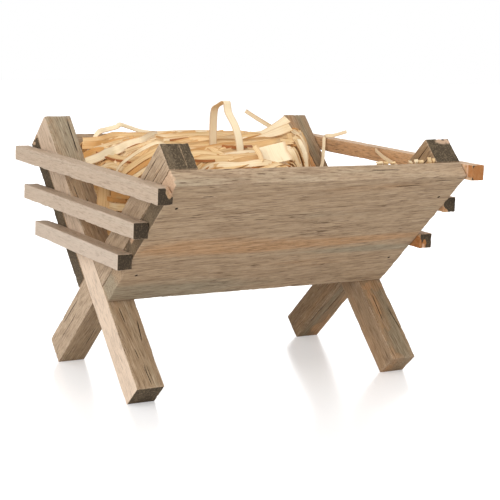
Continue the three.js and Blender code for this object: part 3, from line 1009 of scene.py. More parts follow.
@dataclass
class Frames:
    """The four crossed legs."""

    trough: Trough
    lap_reach: float = 10.3
    lap_foot: float = 0.25
    lap_gap: float = 0.15
    first_seed: int = 11
    right_streaks: float = 3.0
    # Lightening of each leg's outer face: partly bleaching, partly painted light, strongest on the left
    # frame, which faces the light.
    outer_bleach_and_painted_light: dict[str, float] = field(default_factory=lambda: {
        "left_leg_leaning_front": 0.3, "left_leg_leaning_back": 0.92,
        "right_leg_leaning_front": 0.0, "right_leg_leaning_back": 0.1,
    })

    def cracks(self, name: str) -> tuple[Split, ...]:
        """Lists the cracks of one leg, in its own frame.

        Args:
            name: The leg's node.

        Returns:
            Its cracks.
        """
        under, above, outer, inner = (2, Side.HIGH), (2, Side.LOW), (0, Side.LOW), (0, Side.HIGH)
        if name.endswith("back"):
            outer, inner = inner, outer
        return {
            "left_leg_leaning_front": (
                Split(*outer, -6.0, 96, 134, 0.24, 0.5, 0.02),
                Split(*outer, 2.2, 104, 140, 0.28, 0.6, 0.03),
                Split(*outer, 0.5, -80, -30, 0.24, 0.45, 0.02),
                Split(*outer, -5.5, -66, -24, 0.3, 0.6, 0.03),
                Split(*under, 4.0, -70, -40, 0.25, 0.5),
                Split(*above, -1.5, 80, 138, 0.28, 0.6),
            ),
            "left_leg_leaning_back": (
                Split(*above, 2.6, -41, -24, 0.4, 1.3, 0.069),
                Split(*above, -6.4, -56, -35, 0.32, 1.1, -0.1),
                Split(*above, 2.6, -67, -57, 0.36, 1.0, 0.08),
                Split(*above, -0.2, -87.5, -69, 0.38, 1.4, 0.05),
                Split(*above, -2.6, -87.5, -69, 0.38, 1.4, 0.04),
                Split(*above, -5.6, 96, 138, 0.3, 0.7, -0.02),
                Split(*above, 4.2, 44, 78, 0.34, 0.8, 0.05),
                Split(*above, -2.0, 40, 66, 0.34, 0.8, 0.05),
                Split(*inner, -3.0, 84, 132, 0.25, 0.5, 0.03),
                Split(*inner, 3.0, -70, -20, 0.25, 0.4, 0.02),
            ),
            "right_leg_leaning_front": (
                Split(*outer, 2.0, 96, 138, 0.28, 0.5, 0.02),
                Split(*outer, -4.0, 104, 140, 0.26, 0.5, -0.02),
                Split(*under, -8.0, -70, -34, 0.34, 0.7, 0.06),
                Split(*under, -1.0, -60, -24, 0.28, 0.6, 0.05),
            ),
            "right_leg_leaning_back": (
                Split(*above, -6.6, -68, -42, 0.38, 1.1, 0.15),
                Split(*above, 4.0, -60, -30, 0.28, 0.6, -0.04),
                Split(*above, 2.0, 70, 128, 0.28, 0.6, 0.03),
                Split(*inner, -4.0, -70, -36, 0.3, 0.7),
            ),
        }[name]

    def marks(self, name: str) -> tuple[Patch, ...]:
        """Lists the patches of one leg, in its own frame.

        Args:
            name: The leg's node.

        Returns:
            Its patches.
        """
        reach, foot = self.trough.leg_reach, -self.trough.leg_foot
        return {
            "left_leg_leaning_front": (
                Patch((3.0, reach, 0.5), (0.6, 2, 9.0), bare=0.75),
                Patch((-6.0, reach, 0.0), (3.4, 2, 12.0), bare=0.5, tone=-0.3),
                Patch((-8, reach - 12, 2), (3, 10, 2.4), tone=0.5),
            ),
            "left_leg_leaning_back": (
                Patch((2, foot, 2), (7, 2, 6), bare=0.15),
                Patch((0, 112, -10), (16, 34, 3), tone=-0.55),
            ),
            "right_leg_leaning_front": (
                Patch((4.6, reach, -8.4), (6.2, 2.4, 3.6), fresh=0.6, bare=0.6),
                Patch((4.4, reach, -9.0), (0.9, 2.4, 0.9), dark=1.0),
                Patch((2, -76, 4), (7, 9, 9), tone=0.9),
                Patch((6, -50, 8), (4, 12, 4), tone=-0.7),
            ),
            "right_leg_leaning_back": (
                Patch((0, foot, 0), (30, 3.5, 30), bare=0.8),
                Patch((-1, -26, -10), (9, 5, 2), tone=0.9),
                Patch((4, -40, -10), (3, 16, 2), tone=0.7),
                Patch((2, -74, -10), (7, 13, 4), tone=-0.9),
                Patch((-10, -50, 0), (2, 20, 7), tone=-0.6),
            ),
        }[name]

    def streaks(self, end: str) -> tuple[Stain, ...]:
        """Lists the streaks along a leg, stronger on the right frame.

        Args:
            end: The leg's end, left or right.

        Returns:
            The streaks.
        """
        strength = self.right_streaks if end == "right" else 1.0
        return (
            Stain(0, -3.0, 5.0, -0.2 * strength, 0.01),
            Stain(0, 6.0, 4.5, 0.16 * strength, -0.01),
            Stain(2, 5.0, 5.0, 0.12 * strength),
        )

    def leg(self, name: str, seed: int) -> Shell:
        """Shapes one leg and stands it in its place.

        Within the lap the section is squeezed to the half that stays, and the foot's lowest arris
        is pressed flat on the ground.

        Args:
            name: The leg's node, which tells its end and the way that it leans.
            seed: Seed of its grain.

        Returns:
            The leg's surface in the object's frame.
        """
        trough = self.trough
        end, is_front = name.split("_")[0], name.endswith("front")
        size, reach = trough.leg_half, self.lap_reach
        timber = Timber(
            low=np.array([-size, -trough.leg_foot, -size]),
            high=np.array([size, trough.leg_reach, size]),
            grain_axis=1,
            seed=seed,
            steps=(1.0, 1.3, 1.0),
            ease=0.8,
            splits=self.cracks(name),
            patches=self.marks(name),
            stains=self.streaks(end),
            # The outer face is lightened partly as painted light.
            bleach_and_painted_light={(0, Side.LOW if is_front else Side.HIGH): self.outer_bleach_and_painted_light[name]},
            fade=(10.0, 50.0),
            extra=((), (-reach, -reach + self.lap_foot, reach - self.lap_foot, reach), ()),
            pith=(22.0 + 3 * seed % 19, -31.0 + 5 * seed % 23),
        )
        shell = timber.shape()
        points = shell.points
        within = np.abs(points[:, 1]) < reach - self.lap_foot / 2
        kept = (points[:, 0] + size) / (2 * size)
        squeezed = self.lap_gap + kept * (size - self.lap_gap)
        points[:, 0] = np.where(within, squeezed, points[:, 0])
        centre = -trough.leg_centre if end == "left" else trough.leg_centre
        shell.points = leaning(points, trough.crossing, centre, is_front)
        shell.points[:, 2] = np.maximum(shell.points[:, 2], 0)
        return shell

    def build(self, finishes: dict[str, bpy.types.Material]) -> None:
        """Makes the four legs, each end in its own finish.

        Args:
            finishes: The finish of the left and of the right frame.
        """
        for number, name in enumerate(self.outer_bleach_and_painted_light):
            leg = self.leg(name, self.first_seed + number)
            settle(leg.make(f"timber_{name}", finishes[name.split("_")[0]]), Slot.LEG, name)


@dataclass
class Boards:
    """The two sloping boards, with holes where the brads went in."""

    trough: Trough
    hole_radius: float = 0.85
    hole_depth: float = 1.0
    brads_from_top: float = 23.0
    brads_from_lower: float = 29.7
    back_shift: float = 17.0
    back_strength: float = 0.6
    back_middle: float = 20.0

    def brad_places(self) -> tuple[Hole, ...]:
        """Places the brads' holes: over each leg, set in from the board's two long edges.

        Returns:
            The holes.
        """
        trough = self.trough
        rows = (trough.board_start + self.brads_from_lower, trough.leg_reach - self.brads_from_top)
        places = itertools.product((-trough.leg_centre, trough.leg_centre), rows)
        return tuple(Hole(x, y, self.hole_radius, self.hole_depth) for x, y in places)

    def stains(self, is_front: bool) -> tuple[Stain, ...]:
        """Lists the long stains of a board, and a grey band on its top face that is painted shade; the back
        one has them weaker, lower and turned about.

        Args:
            is_front: Whether it is the front board.

        Returns:
            The stains.
        """
        seen = (
            Stain(1, 70.0, 9.0, 0.85, -0.02, -80.0, 85.0),
            Stain(1, 63.0, 5.5, 0.85, 0.03, 10.0, 70.0),
            Stain(1, 66.5, 4.0, 0.7, 0.02, 85.0, 50.0),
            Stain(1, 54.0, 5.0, -0.9, -0.01, 70.0, 60.0),
            Stain(1, 124.0, 7.0, 0.45, 0.0, 56.0, 50.0),
            Stain(1, 124.0, 12.0, -0.15, 0.0, -80.0, 60.0),
            Stain(1, 42.0, 5.0, 0.4, 0.0, 20.0, 60.0),
            Stain(1, 18.0, 12.0, -0.7, 0.0, -70.0, 90.0),
            Stain(1, 97.0, 9.0, -0.25, 0.02, 20.0, 60.0),
            # Painted shade: greys the board's top face, which the light from above leaves too light.
            Stain(1, self.trough.leg_reach, 2.0, -0.2),
        )
        if is_front:
            return seen
        return tuple(replace(
            stain,
            across=stain.across - self.back_shift,
            strength=self.back_strength * stain.strength,
            along=2 * self.back_middle - stain.along,
        ) for stain in seen)

    def marks(self, is_front: bool) -> tuple[Patch, ...]:
        """Lists the patches of a board: bare end grain and, at a few corners, fresh wood.

        Args:
            is_front: Whether it is the front board.

        Returns:
            The patches.
        """
        end = self.trough.frame_half
        if is_front:
            return (
                Patch((-end, 80.0, 16.0), (4, 110, 40), bare=0.5, tone=-0.1),
                Patch((-end, 10.0, 16.0), (4, 46, 40), bare=0.6),
                Patch((end, 70.0, 16.0), (4, 130, 40), bare=0.4),
                Patch((-end, 126.0, 15.5), (3, 10.0, 9.0), fresh=0.45, bare=1.0, tone=0.3),
                Patch((-end, 68.0, 12.5), (2, 4.0, 2.0), fresh=0.5, bare=1.0),
            )
        return (
            Patch((-end, 70.0, 16.0), (4, 130, 40), bare=0.4),
            Patch((end, 139.0, 16.0), (3, 8, 9), fresh=0.15, bare=1.0),
        )

    def board(self, is_front: bool) -> Shell:
        """Shapes one board and lays it on the slope.

        Args:
            is_front: Whether it is the front board.

        Returns:
            The board's surface in the object's frame.
        """
        trough = self.trough
        outer = (2, Side.HIGH)
        timber = Timber(
            low=np.array([-trough.frame_half, trough.board_start, trough.board_inner]),
            high=np.array([trough.frame_half, trough.leg_reach, trough.board_outer]),
            grain_axis=0,
            seed=31 if is_front else 37,
            steps=(1.25, 1.05, 1.5),
            ease=0.6,
            holes=self.brad_places(),
            splits=(
                Split(*outer, 122.9, -88, -78, 0.35, 0.6),
                Split(*outer, 126.0, 50, 82, 0.34, 0.7, 0.03),
                Split(*outer, 130.5, 84, 104, 0.32, 0.7, 0.02),
                Split(*outer, 88.5, 8, 26, 0.22, 0.35, 0.02),
                Split(*outer, 96.0, -40, -26, 0.22, 0.35, 0.02),
                Split(1, Side.HIGH, 15.0, 30, 62, 0.25, 0.5, 0.004),
            ),
            stains=self.stains(is_front),
            patches=self.marks(is_front),
            bleach_and_painted_light={(1, Side.HIGH): 0.05},
            pith=(61.0, -48.0) if is_front else (-54.0, 39.0),
        )
        shell = timber.shape()
        shell.points = leaning(shell.points, trough.crossing, 0.0, is_front)
        return shell

    def build(self, finish: bpy.types.Material) -> None:
        """Makes the two boards.

        Args:
            finish: Their finish.
        """
        for half in ("front", "back"):
            board = self.board(half == "front").make(f"timber_{half}_board", finish)
            settle(board, Slot.BOARD, f"{half}_board")


@dataclass
class EndSlats:
    """The six square end slats, one with a broken corner."""

    names: tuple[str, ...] = (
        "left_slat_top", "left_slat_middle", "left_slat_bottom",
        "right_slat_top", "right_slat_middle", "right_slat_bottom",
    )
    first_seed: int = 51
    # Lightening of the left slats' outer faces: partly bleaching, partly painted light from the left.
    outer_bleach_and_painted_light: dict[str, float] = field(default_factory=lambda: {
        "left_slat_top": 0.5, "left_slat_middle": 0.62, "left_slat_bottom": 0.85,
    })
    chipped: str = "left_slat_top"
    chip: Triple = (6.0, 7.0, 6.0)
    chip_seed: int = 5

    def slat(self, name: str, seed: int) -> Shell:
        """Shapes one slat in the box of its CAD node.

        Args:
            name: The slat's node.
            seed: Seed of its grain.

        Returns:
            The slat's surface.
        """
        low, high = node_box(name)
        # Upper faces, and the right slats' inner faces, are lightened as painted light where the light falls
        # on them.
        if name.startswith("left"):
            outer, inner, upper_bleach_and_painted_light, inner_bleach_and_painted_light = Side.LOW, Side.HIGH, 0.3, 0.0
            stain = Stain(2, low[2] + 8.0, 2.6, -0.3, 0.004)
        else:
            outer, inner, upper_bleach_and_painted_light, inner_bleach_and_painted_light = Side.HIGH, Side.LOW, 0.5, 0.15
            stain = Stain(2, low[2] + 5.0, 8.0, 1.1, 0.004)
        timber = Timber(
            low=low,
            high=high,
            grain_axis=1,
            seed=seed,
            steps=(0.95, 1.3, 0.95),
            ease=0.55,
            stains=(stain,),
            patches=self.marks(name, low, high),
            bleach_and_painted_light={
                (0, outer): self.outer_bleach_and_painted_light.get(name, 0.5),
                (2, Side.HIGH): upper_bleach_and_painted_light,
                (0, inner): inner_bleach_and_painted_light,
            },
            pith=(18.0 + 7 * seed % 29, 25.0 - 11 * seed % 31),
        )
        shell = timber.shape()
        if name == self.chipped:
            self.break_corner(shell, low, high)
        return shell

    def marks(self, name: str, low: Array, high: Array) -> tuple[Patch, ...]:
        """Lists the patches of one slat by its near end: torn orange wood and pale slivers.

        Args:
            name: The slat's node.
            low: Low corner of its box.
            high: High corner of its box.

        Returns:
            The patches.
        """
        middle = (low[2] + high[2]) / 2
        near = low[1]
        return {
            "left_slat_top": (
                Patch((high[0], near, high[2] - 1), (6, 7, 8), tone=1.0, bare=0.8),
            ),
            "right_slat_top": (
                Patch((high[0], near, middle), (14, 9, 9), tone=2.6, bare=1.0),
                Patch((low[0], near + 5, middle), (1, 0.8, 6), fresh=0.8),
                Patch((low[0], near + 9, middle), (1, 0.8, 6), fresh=0.8),
            ),
            "right_slat_middle": (
                Patch((low[0], near + 6, low[2]), (4.2, 18, 7), tone=1.2, fresh=0.1, bare=1.0),
            ),
            "right_slat_bottom": (
                Patch((low[0], near + 6, low[2] + 2), (6, 14, 7), tone=2.5, bare=1.0),
                Patch((low[0] + 3, near, low[2] + 1), (1.2, 2, 3.0), fresh=0.6, bare=1.0),
            ),
        }.get(name, ())

    def break_corner(self, shell: Shell, low: Array, high: Array) -> None:
        """Breaks off the upper inner corner at the near end.

        Points past the plane through the three ends of the break fall back on it along its normal,
        less a rough grain of torn fibres.

        Args:
            shell: The slat's surface, which changes.
            low: Low corner of its box.
            high: High corner of its box.
        """
        width, length, depth = self.chip
        corner = np.array([high[0], low[1], high[2]])
        normal = np.array([1 / width, -1 / length, 1 / depth])
        steepness = np.linalg.norm(normal)
        past = np.clip((shell.points - corner) @ normal + 1, 0, None)
        noise = Noise(self.chip_seed)
        fine = noise.at(shell.points, (0.9, 3.5, 0.9))
        coarse = noise.at(shell.points + 30, (2.1, 5.0, 2.1))
        torn = (0.35 * fine + 0.45 * coarse) * smooth_rise(past, 0, 0.3)
        shell.points -= normal / steepness * (past / steepness + torn)[:, None]
        broken = smooth_rise(past, 0.0, 0.08)
        shell.marks["marks"][:, 2] = (0.2 + 0.5 * torn) * broken
        shell.marks["finish"][:, 0] += 0.8 * broken
        shell.marks["marks"][:, 0] *= 1 - broken

    def build(self, finishes: dict[str, bpy.types.Material]) -> None:
        """Makes the six slats, each end in its own finish.

        Args:
            finishes: The finish of the left and of the right slats.
        """
        for number, name in enumerate(self.names):
            slat = self.slat(name, self.first_seed + number)
            settle(slat.make(f"timber_{name}", finishes[name.split("_")[0]]), Slot.SLAT, name)


@dataclass
class FloorStrip:
    """The bevelled strip that closes the slot between the boards."""

    seed: int = 71

    def build(self, finish: bpy.types.Material) -> None:
        """Makes the strip: a sawn piece that gets narrower downwards with the slope of the boards.

        Args:
            finish: Its finish.
        """
        low, high = node_box("floor_strip")
        timber = Timber(low, high, grain_axis=0, seed=self.seed, steps=(2.0, 1.3, 1.5), ease=0.5)
        shell = timber.shape()
        points = shell.points
        points[:, 1] *= (high[1] - (high[2] - points[:, 2])) / high[1]
        settle(shell.make("timber_floor_strip", finish), Slot.FLOOR, "floor_strip")


@dataclass
class Brads:
    """The eight sunk brads, which keep their CAD shape."""

    nodes: dict[str, bpy.types.Object]

    def build(self, finish: bpy.types.Material) -> None:
        """Gives each brad its finish.

        Args:
            finish: The steel.
        """
        brads = (node for name, node in self.nodes.items() if name.startswith("brad_"))
        for slot in itertools.chain.from_iterable(brad.material_slots for brad in brads):
            slot.material = finish


def strips(
    paths: Array, widths: Array, sides: Array, tints: Array, thickness: float, cups: Array,
) -> Shell:
    """Makes many flat closed strips at once.

    At each station the width lies along the given side, squared to the path, and the section has six
    corners: two edges and a middle that stands up by the cup, above and below by half the thickness.

    Args:
        paths: Stations, strips by stations by 3.
        widths: Width at each station of each strip.
        sides: Wanted direction of the width at each station.
        tints: Shade of each strip, from pale at 0 to dark past 1.
        thickness: Thickness of the strips.
        cups: Height of the middle over the edges, one for each strip.

    Returns:
        The strips as one surface. Its strip mark is the run along the strip, counted on from another
        place for each shade, then the place across it and the shade. Its lay mark is the nearness to
        an edge, the underside and the shade.
    """
    count, stations, _ = paths.shape
    tangent = np.gradient(paths, axis=1)
    tangent /= np.linalg.norm(tangent, axis=2, keepdims=True) + TINY
    side = sides - tangent * np.sum(sides * tangent, axis=2, keepdims=True)
    side /= np.linalg.norm(side, axis=2, keepdims=True) + TINY
    lift = np.cross(tangent, side)
    across = np.array([-0.5, 0.0, 0.5, 0.5, 0.0, -0.5])
    middle = np.array([0.0, 1.0, 0.0, 0.0, 1.0, 0.0])
    level = np.array([-0.5, -0.5, -0.5, 0.5, 0.5, 0.5]) * thickness
    reach = across * widths[:, :, None]
    rise = level + middle * cups[:, None, None]
    points = paths[:, :, None] + reach[..., None] * side[:, :, None] + rise[..., None] * lift[:, :, None]

    corners = len(across)
    first = np.arange(count)[:, None, None] * stations * corners
    station = np.arange(stations - 1)[None, :, None] * corners
    corner = np.arange(corners)
    a, b = first + station + corner, first + station + (corner + 1) % corners
    walls = np.stack([a, b, b + corners, a + corners], axis=-1).reshape(-1, 4)
    start = np.array([[5, 4, 1, 0], [4, 3, 2, 1]])
    end = start[:, ::-1] + (stations - 1) * corners
    caps = (first + np.concatenate([start, end])).reshape(-1, 4)

    steps = np.linalg.norm(np.diff(paths, axis=1), axis=2)
    run = np.concatenate([np.zeros((count, 1)), np.cumsum(steps, axis=1)], axis=1)
    run = run + RUN_SPACING * tints[:, None]
    shade = tints[:, None, None]
    strip = np.stack(np.broadcast_arrays(run[:, :, None], reach, shade), axis=-1)
    # Edge nearness and underside carry painted shade: the finish darkens the strips there.
    lay = np.stack(np.broadcast_arrays(np.abs(across) * 2, level < 0, shade + 0 * reach), axis=-1)
    creases = np.zeros(reach.shape, dtype=np.int32) + np.array([1, 0, 1, 1, 0, 1])
    creases[:, [0, -1]] |= 2
    marks = {"strip": strip.reshape(-1, 3), "lay": lay.reshape(-1, 3)}
    return Shell(points.reshape(-1, 3), np.concatenate([walls, caps]), marks, creases.ravel())


def joined(shells: list[Shell]) -> Shell:
    """Puts several surfaces together as one, counting each one's points on from the last.

    Args:
        shells: The surfaces, with the same marks.

    Returns:
        The one surface.
    """
    starts = np.cumsum([0] + [len(shell.points) for shell in shells[:-1]])
    marks = {name: np.concatenate([shell.marks[name] for shell in shells]) for name in shells[0].marks}
    quads = np.concatenate([shell.quads + start for shell, start in zip(shells, starts)])
    creases = np.concatenate([shell.creases for shell in shells])
    return Shell(np.concatenate([shell.points for shell in shells]), quads, marks, creases)


def smooth_route(points: Array, samples: int) -> Array:
    """Carries a centripetal Catmull-Rom curve through the points.

    Between two points the curve blends four neighbours in turn, each blend's weights being shares of
    knots that are spaced by the square root of the distances.

    Args:
        points: The route's points.
        samples: Places worked out along the whole route.

    Returns:
        The places, at even shares of the route's spans.
    """
    before = 2 * points[0] - points[1]
    after = 2 * points[-1] - points[-2]
    padded = np.vstack([before, points, after])
    spans = len(points) - 1
    place = np.linspace(0, spans, samples)
    span = np.minimum(place.astype(int), spans - 1)
    share = place - span
    a, b, c, d = (padded[span + offset] for offset in range(4))
    knot_b = np.sqrt(np.linalg.norm(b - a, axis=1))
    knot_c = knot_b + np.sqrt(np.linalg.norm(c - b, axis=1))
    knot_d = knot_c + np.sqrt(np.linalg.norm(d - c, axis=1))
    knot = knot_b + share * (knot_c - knot_b)
    zero = np.zeros_like(knot)

    def blend(low: Array, high: Array, start: Array, end: Array) -> Array:
        """Weights two points by where the knot lies between their knots."""
        weight = ((knot - start) / (end - start))[:, None]
        return low * (1 - weight) + high * weight

    first = blend(a, b, zero, knot_b)
    second = blend(b, c, knot_b, knot_c)
    third = blend(c, d, knot_c, knot_d)
    left = blend(first, second, zero, knot_c)
    right = blend(second, third, knot_b, knot_d)
    return blend(left, right, knot_b, knot_c)


@dataclass(frozen=True)
class Ribbon:
    """A ribbon laid along a given route: its route, its width, where its width points and its tint.

    A route's point is X, Y and a height, which counts from the heap's top where it is less than the
    most rise, and from the ground past that. The narrowing is the share of the width that the ribbon
    lacks at its start. A twisted one has another direction for its width at its end.
    """

    route: Route
    width: float
    across: Triple
    tint: float
    cup: float = 0.1
    narrowing: float = 0.0
    across_end: Triple | None = None


LAID_RIBBONS = (
    Ribbon((
        (-97, 45, 143.0), (-92.5, 33.5, 147.6), (-92, 22, 151.7), (-91, 8.8, 155.4), (-83.8, 8, 158.6),
        (-76, 2.4, 161.8), (-66, 8, 164.4), (-51.7, 26.3, 162.4),
    ), 6.2, STEEP, 0.0),
    Ribbon((
        (-88, 51.8, 151.3), (-82.8, 40.3, 155.2), (-77.2, 30, 159), (-67.7, 31, 161.2),
    ), 2.4, STEEP, 0.3),
    Ribbon((
        (-89, 68.3, 156.1), (-82, 70, 2.0), (-74, 58, 2.2), (-45, 58, 1.2), (-10, 60, 1.0),
    ), 4.0, SLOPED, 0.3),
    Ribbon((
        (-89.5, 67.1, 154.5), (-79.5, 62, 2.6), (-76, 45, 2.6), (-69, 35, 2.1), (-50, 30, 1.6),
    ), 5.5, STEEP, 0.62),
    Ribbon(((-90, 67, 151.7), (-83.7, 59.7, 2), (-80.4, 37.5, 2), (-69.3, 27.8, 1.5)), 5.5, STEEP, 0.8),
    Ribbon(((-94, 55, 146), (-91, 44, 150.5), (-85.9, 40, 2.4)), 4.5, STEEP, 0.95),
    Ribbon((
        (-91, -4.2, 155.6), (-79.5, -2.2, 2.6), (-74.5, -6.7, 3), (-67.5, -5.9, 2.4), (-50, 4, 1.5),
    ), 3.4, STEEP, 0.35),
    Ribbon((
        (-91.4, 44, 145), (-91.8, 20, 150.5), (-91.6, -2, 150), (-91, -34, 154),
    ), 4.2, (0, 0.1, 1), 0.55),
    # Painted shadow: a thin dark strip laid to show a dark gap.
    Ribbon((
        (-91.6, 40, 150), (-92, 14, 148.4), (-92, -8, 149.4), (-91.4, -30, 149),
    ), 1.5, (0, 0.1, 1), 1.7),
    Ribbon((
        (-91.6, 34, 139), (-92, 12, 144.6), (-92, -8, 144), (-91.4, -34, 147),
    ), 4.4, (0, 0.1, 1), 0.3),
    Ribbon((
        (-91.2, 40, 138), (-91.4, 14, 138.6), (-91.4, -10, 141), (-91, -34, 140),
    ), 5.0, (0, 0.1, 1), 0.9),
    Ribbon((
        (-78, -52, 2), (-88, -50, 162), (-93, -42, 158), (-94.5, -27, 151), (-95, -12, 143.5),
        (-94, -2, 137),
    ), 4.4, (0, 0.5, 0.87), 0.3, 0.2),
    Ribbon((
        (-78, -54, 0), (-87.4, -52, 158.6), (-92.4, -44, 154.8), (-94, -29, 147.6), (-94.4, -14, 140),
        (-93.4, -4, 133.6),
    ), 4.0, (0.1, 0.5, 0.87), 0.75, -0.2),
    Ribbon((
        (-76, -56, -1), (-86.8, -53.6, 155.4), (-92, -45.4, 151.6), (-94.4, -31, 144.2),
        (-95.4, -17, 137), (-94, -8, 131),
    ), 3.2, (0.0, 0.4, 0.9), 0.05, 0.2),
    Ribbon((
        (-77, -48, 5), (-88.5, -46.5, 166.2), (-94.2, -39, 162.3), (-96.2, -24.5, 155.3),
        (-96.6, -9.5, 147.8), (-95.4, 1, 140.5),
    ), 2.4, (0, 0.5, 0.87), -0.1),
    Ribbon((
        (-47, -10, 1.2), (-44.3, -14.6, 2), (-37.7, -21.9, 3), (-25.8, -21.2, 3), (-0.9, 1, 2.4),
        (20, 6, 1.6),
    ), 6.0, SLOPED, 0.45),
    Ribbon((
        (-51, -36, 1.2), (-51.1, -46.6, 3), (-51.7, -57.5, 4), (-54, -74, 3.6), (-53.6, -82.4, 2),
    ), 5.5, FACING, 0.5),
    Ribbon((
        (-81.4, -85.4, 1.6), (-70.2, -86.6, 2.2), (-53.9, -89.1, 2.4), (-36, -93.3, 1.8), (-14, -95, 1.4),
    ), 5.0, SLOPED, 0.15),
    Ribbon(((-84, -71, 1.6), (-77.2, -73.5, 2), (-68.8, -77.7, 2.4), (-52, -78, 2.2)), 6.0, SLOPED, 0.5),
    Ribbon(((-19.3, -30.4, 1.4), (-6.6, -32.4, 2.4), (4.5, -36, 3.5), (22, -20, 3.6)), 4.6, SLOPED, 0.7),
    Ribbon((
        (-43, -24.8, 1), (-29.2, -27.4, 1.4), (-11.8, -24.2, 2), (8.3, -13.2, 2), (26, -6, 1.6),
    ), 4.0, SLOPED, 0.65),
    Ribbon((
        (-2.7, 47.4, 1.5), (5.8, 33.4, 1.9), (5.7, 8, 2.5), (24, 16, 3), (42, 30, 3),
    ), 5.0, STEEP, 0.45),
    Ribbon((
        (22.5, -31, 0.4), (22.1, -30, 159.7), (21.4, -29, 164.4), (20.6, -28, 169),
    ), 3.2, FACING, 0.2),
    Ribbon(((6, -47.6, 4), (-4.6, -71.5, 4.2), (-4, -80.1, 3.8), (1.6, -86, 2.6)), 5.0, FACING, 0.25),
    Ribbon((
        (3.7, -45.1, 2.6), (-5.8, -66.8, 2.4), (-9.7, -77.6, 2.2), (-11, -84.2, 1.8),
    ), 3.4, FACING, 0.55),
    # Painted shadow: a dark wedge under the flake's lower edge.
    Ribbon(((-40.7, -92.7, 0.9), (-31.7, -93.5, 0.9), (-10.9, -80.1, 1.2)), 4.0, SLOPED, 1.0),
    Ribbon(((-40.2, -92.6, 158.4), (-38, -86, 5.4), (-36.6, -77, 9.8)), 3.2, (0.55, -0.35, 0.75), 0.1),
    Ribbon(((-88, -62, 1.5), (-70, -58, 2.2), (-50, -66, 2), (-30, -70, 2)), 6.5, SLOPED, 0.3),
    Ribbon(((-40, 60, 0.8), (-10, 64, 0.8), (30, 66, 0.6), (66, 62, 0.6)), 4.5, (-0.1, 0.9, 0.4), 0.2),
    Ribbon(((-66, 44, 1.6), (-40, 40, 2.2), (0, 46, 2.0), (40, 52, 1.2)), 4.6, SLOPED, 0.1),
    Ribbon(((-64, 12, 2.2), (-38, 10, 2.6), (-10, 16, 2.6), (24, 20, 2)), 7.0, SLOPED, 0.3),
    Ribbon(((-60, -52, 1.6), (-30, -48, 2), (-8, -54, 2.2), (6, -60, 1)), 6.0, SLOPED, 0.55),
    # Painted shadow: these thin dark strips stand for shadowed gaps between ribbons.
    Ribbon(((-44, -49, 3.4), (-39.7, -56, 4), (-31, -57, 4), (-9, -35.4, 2.6)), 2.0, SLOPED, 1.7),
    Ribbon(((-77, -73, 2.8), (-73.7, -79, 3.2), (-66.7, -80.3, 2.8)), 1.7, SLOPED, 1.8),
    Ribbon(((-84.5, 7, 3), (-81, 2, 3.2), (-77, -3, 3)), 1.4, STEEP, 1.6),
    Ribbon(((4, -50, 3), (-3.9, -69.5, 4), (-2, -76, 3)), 2.0, FACING, 1.7),
    Ribbon(((-59, -5, 2.6), (-48, -8, 3), (-36, -16.5, 2.4)), 1.3, SLOPED, 1.4),
    Ribbon(((-5, -2.6, 2.4), (6, -8.9, 2.8), (24, -4, 2.2)), 1.5, SLOPED, 1.5),
    Ribbon(((-8, 30, 2.2), (8, 26, 2.6), (30, 34, 2)), 1.2, SLOPED, 1.3),
    Ribbon(((56, 48, 1.5), (65, 43, 4), (72, 38, 3), (76, 32, 1)), 3.2, FACING, 0.1),
    Ribbon(((54, 38, 1.5), (62, 35, 4.4), (67, 30, 3), (70, 23, 1)), 3.6, FACING, 0.25),
    Ribbon(((50, 30, 1.5), (57, 27, 4), (62, 21, 3), (64, 14, 1)), 3.0, FACING, 0.6),
    Ribbon(((44, 22, 1.5), (52, 17, 4), (57, 11, 3), (59, 4, 1)), 3.4, FACING, 0.15),
    Ribbon(((62, 56, 1.5), (72, 51, 3), (80, 46, 2.4), (84, 41, 1)), 3.4, FACING, 0.4),
    Ribbon(((64, 30, 1), (66, 36, 3.4), (64, 43, 4), (60, 50, 2)), 3.0, STEEP, 0.5),
    Ribbon(((58, 18, 1), (61, 24, 3.6), (59, 31, 4.4), (54, 37, 2)), 2.8, STEEP, 0.9),
)


@dataclass(frozen=True)
class Lot:
    """A lot of ribbons strewn along the trough.

    Where a ribbon may start and end is told by its skewed place: X less a share of Y, along which
    the heap falls.
    """

    seed: int
    count: int
    levels: tuple[float, float]
    lengths: tuple[float, float]
    widths: tuple[float, float]
    tints: tuple[float, float]
    spread: float
    roll: tuple[float, float]
    starts: tuple[float, float] = (-500.0, -400.0)
    ends: tuple[float, float] = (34.0, 48.0)
    lift: float = 1.0


LOW_LOTS = (
    Lot(101, 210, (-2.2, 0.4), (22, 60), (4.0, 7.0), (0.4, 1.2), 16, (10, 18), (58, 110), (400, 500)),
    Lot(103, 34, (-1.4, 1.2), (24, 60), (4.0, 7.0), (0.3, 1.1), 24, (10, 18), (8, 38), (56, 74)),
    Lot(115, 150, (0.2, 3.4), (12, 40), (2.6, 5.6), (0.2, 1.2), 50, (0, 24), (42, 56), (56, 76), 3.0),
)
# Painted shade: the deepest lot takes the darkest tints, which reach the shadow colour.
UNDER_LOTS = (Lot(105, 430, (-3.2, -0.4), (50, 120), (3.2, 6.0), (0.7, 1.4), 13, (8, 20)),)
UPPER_LOTS = (
    Lot(107, 170, (-0.6, 1.2), (50, 140), (2.6, 5.2), (0.1, 1.15), 10, (24, 24), lift=2.2),
    Lot(113, 60, (0.6, 2.0), (50, 150), (3.4, 6.2), (0.0, 0.7), 7, (30, 16), lift=2.2),
)


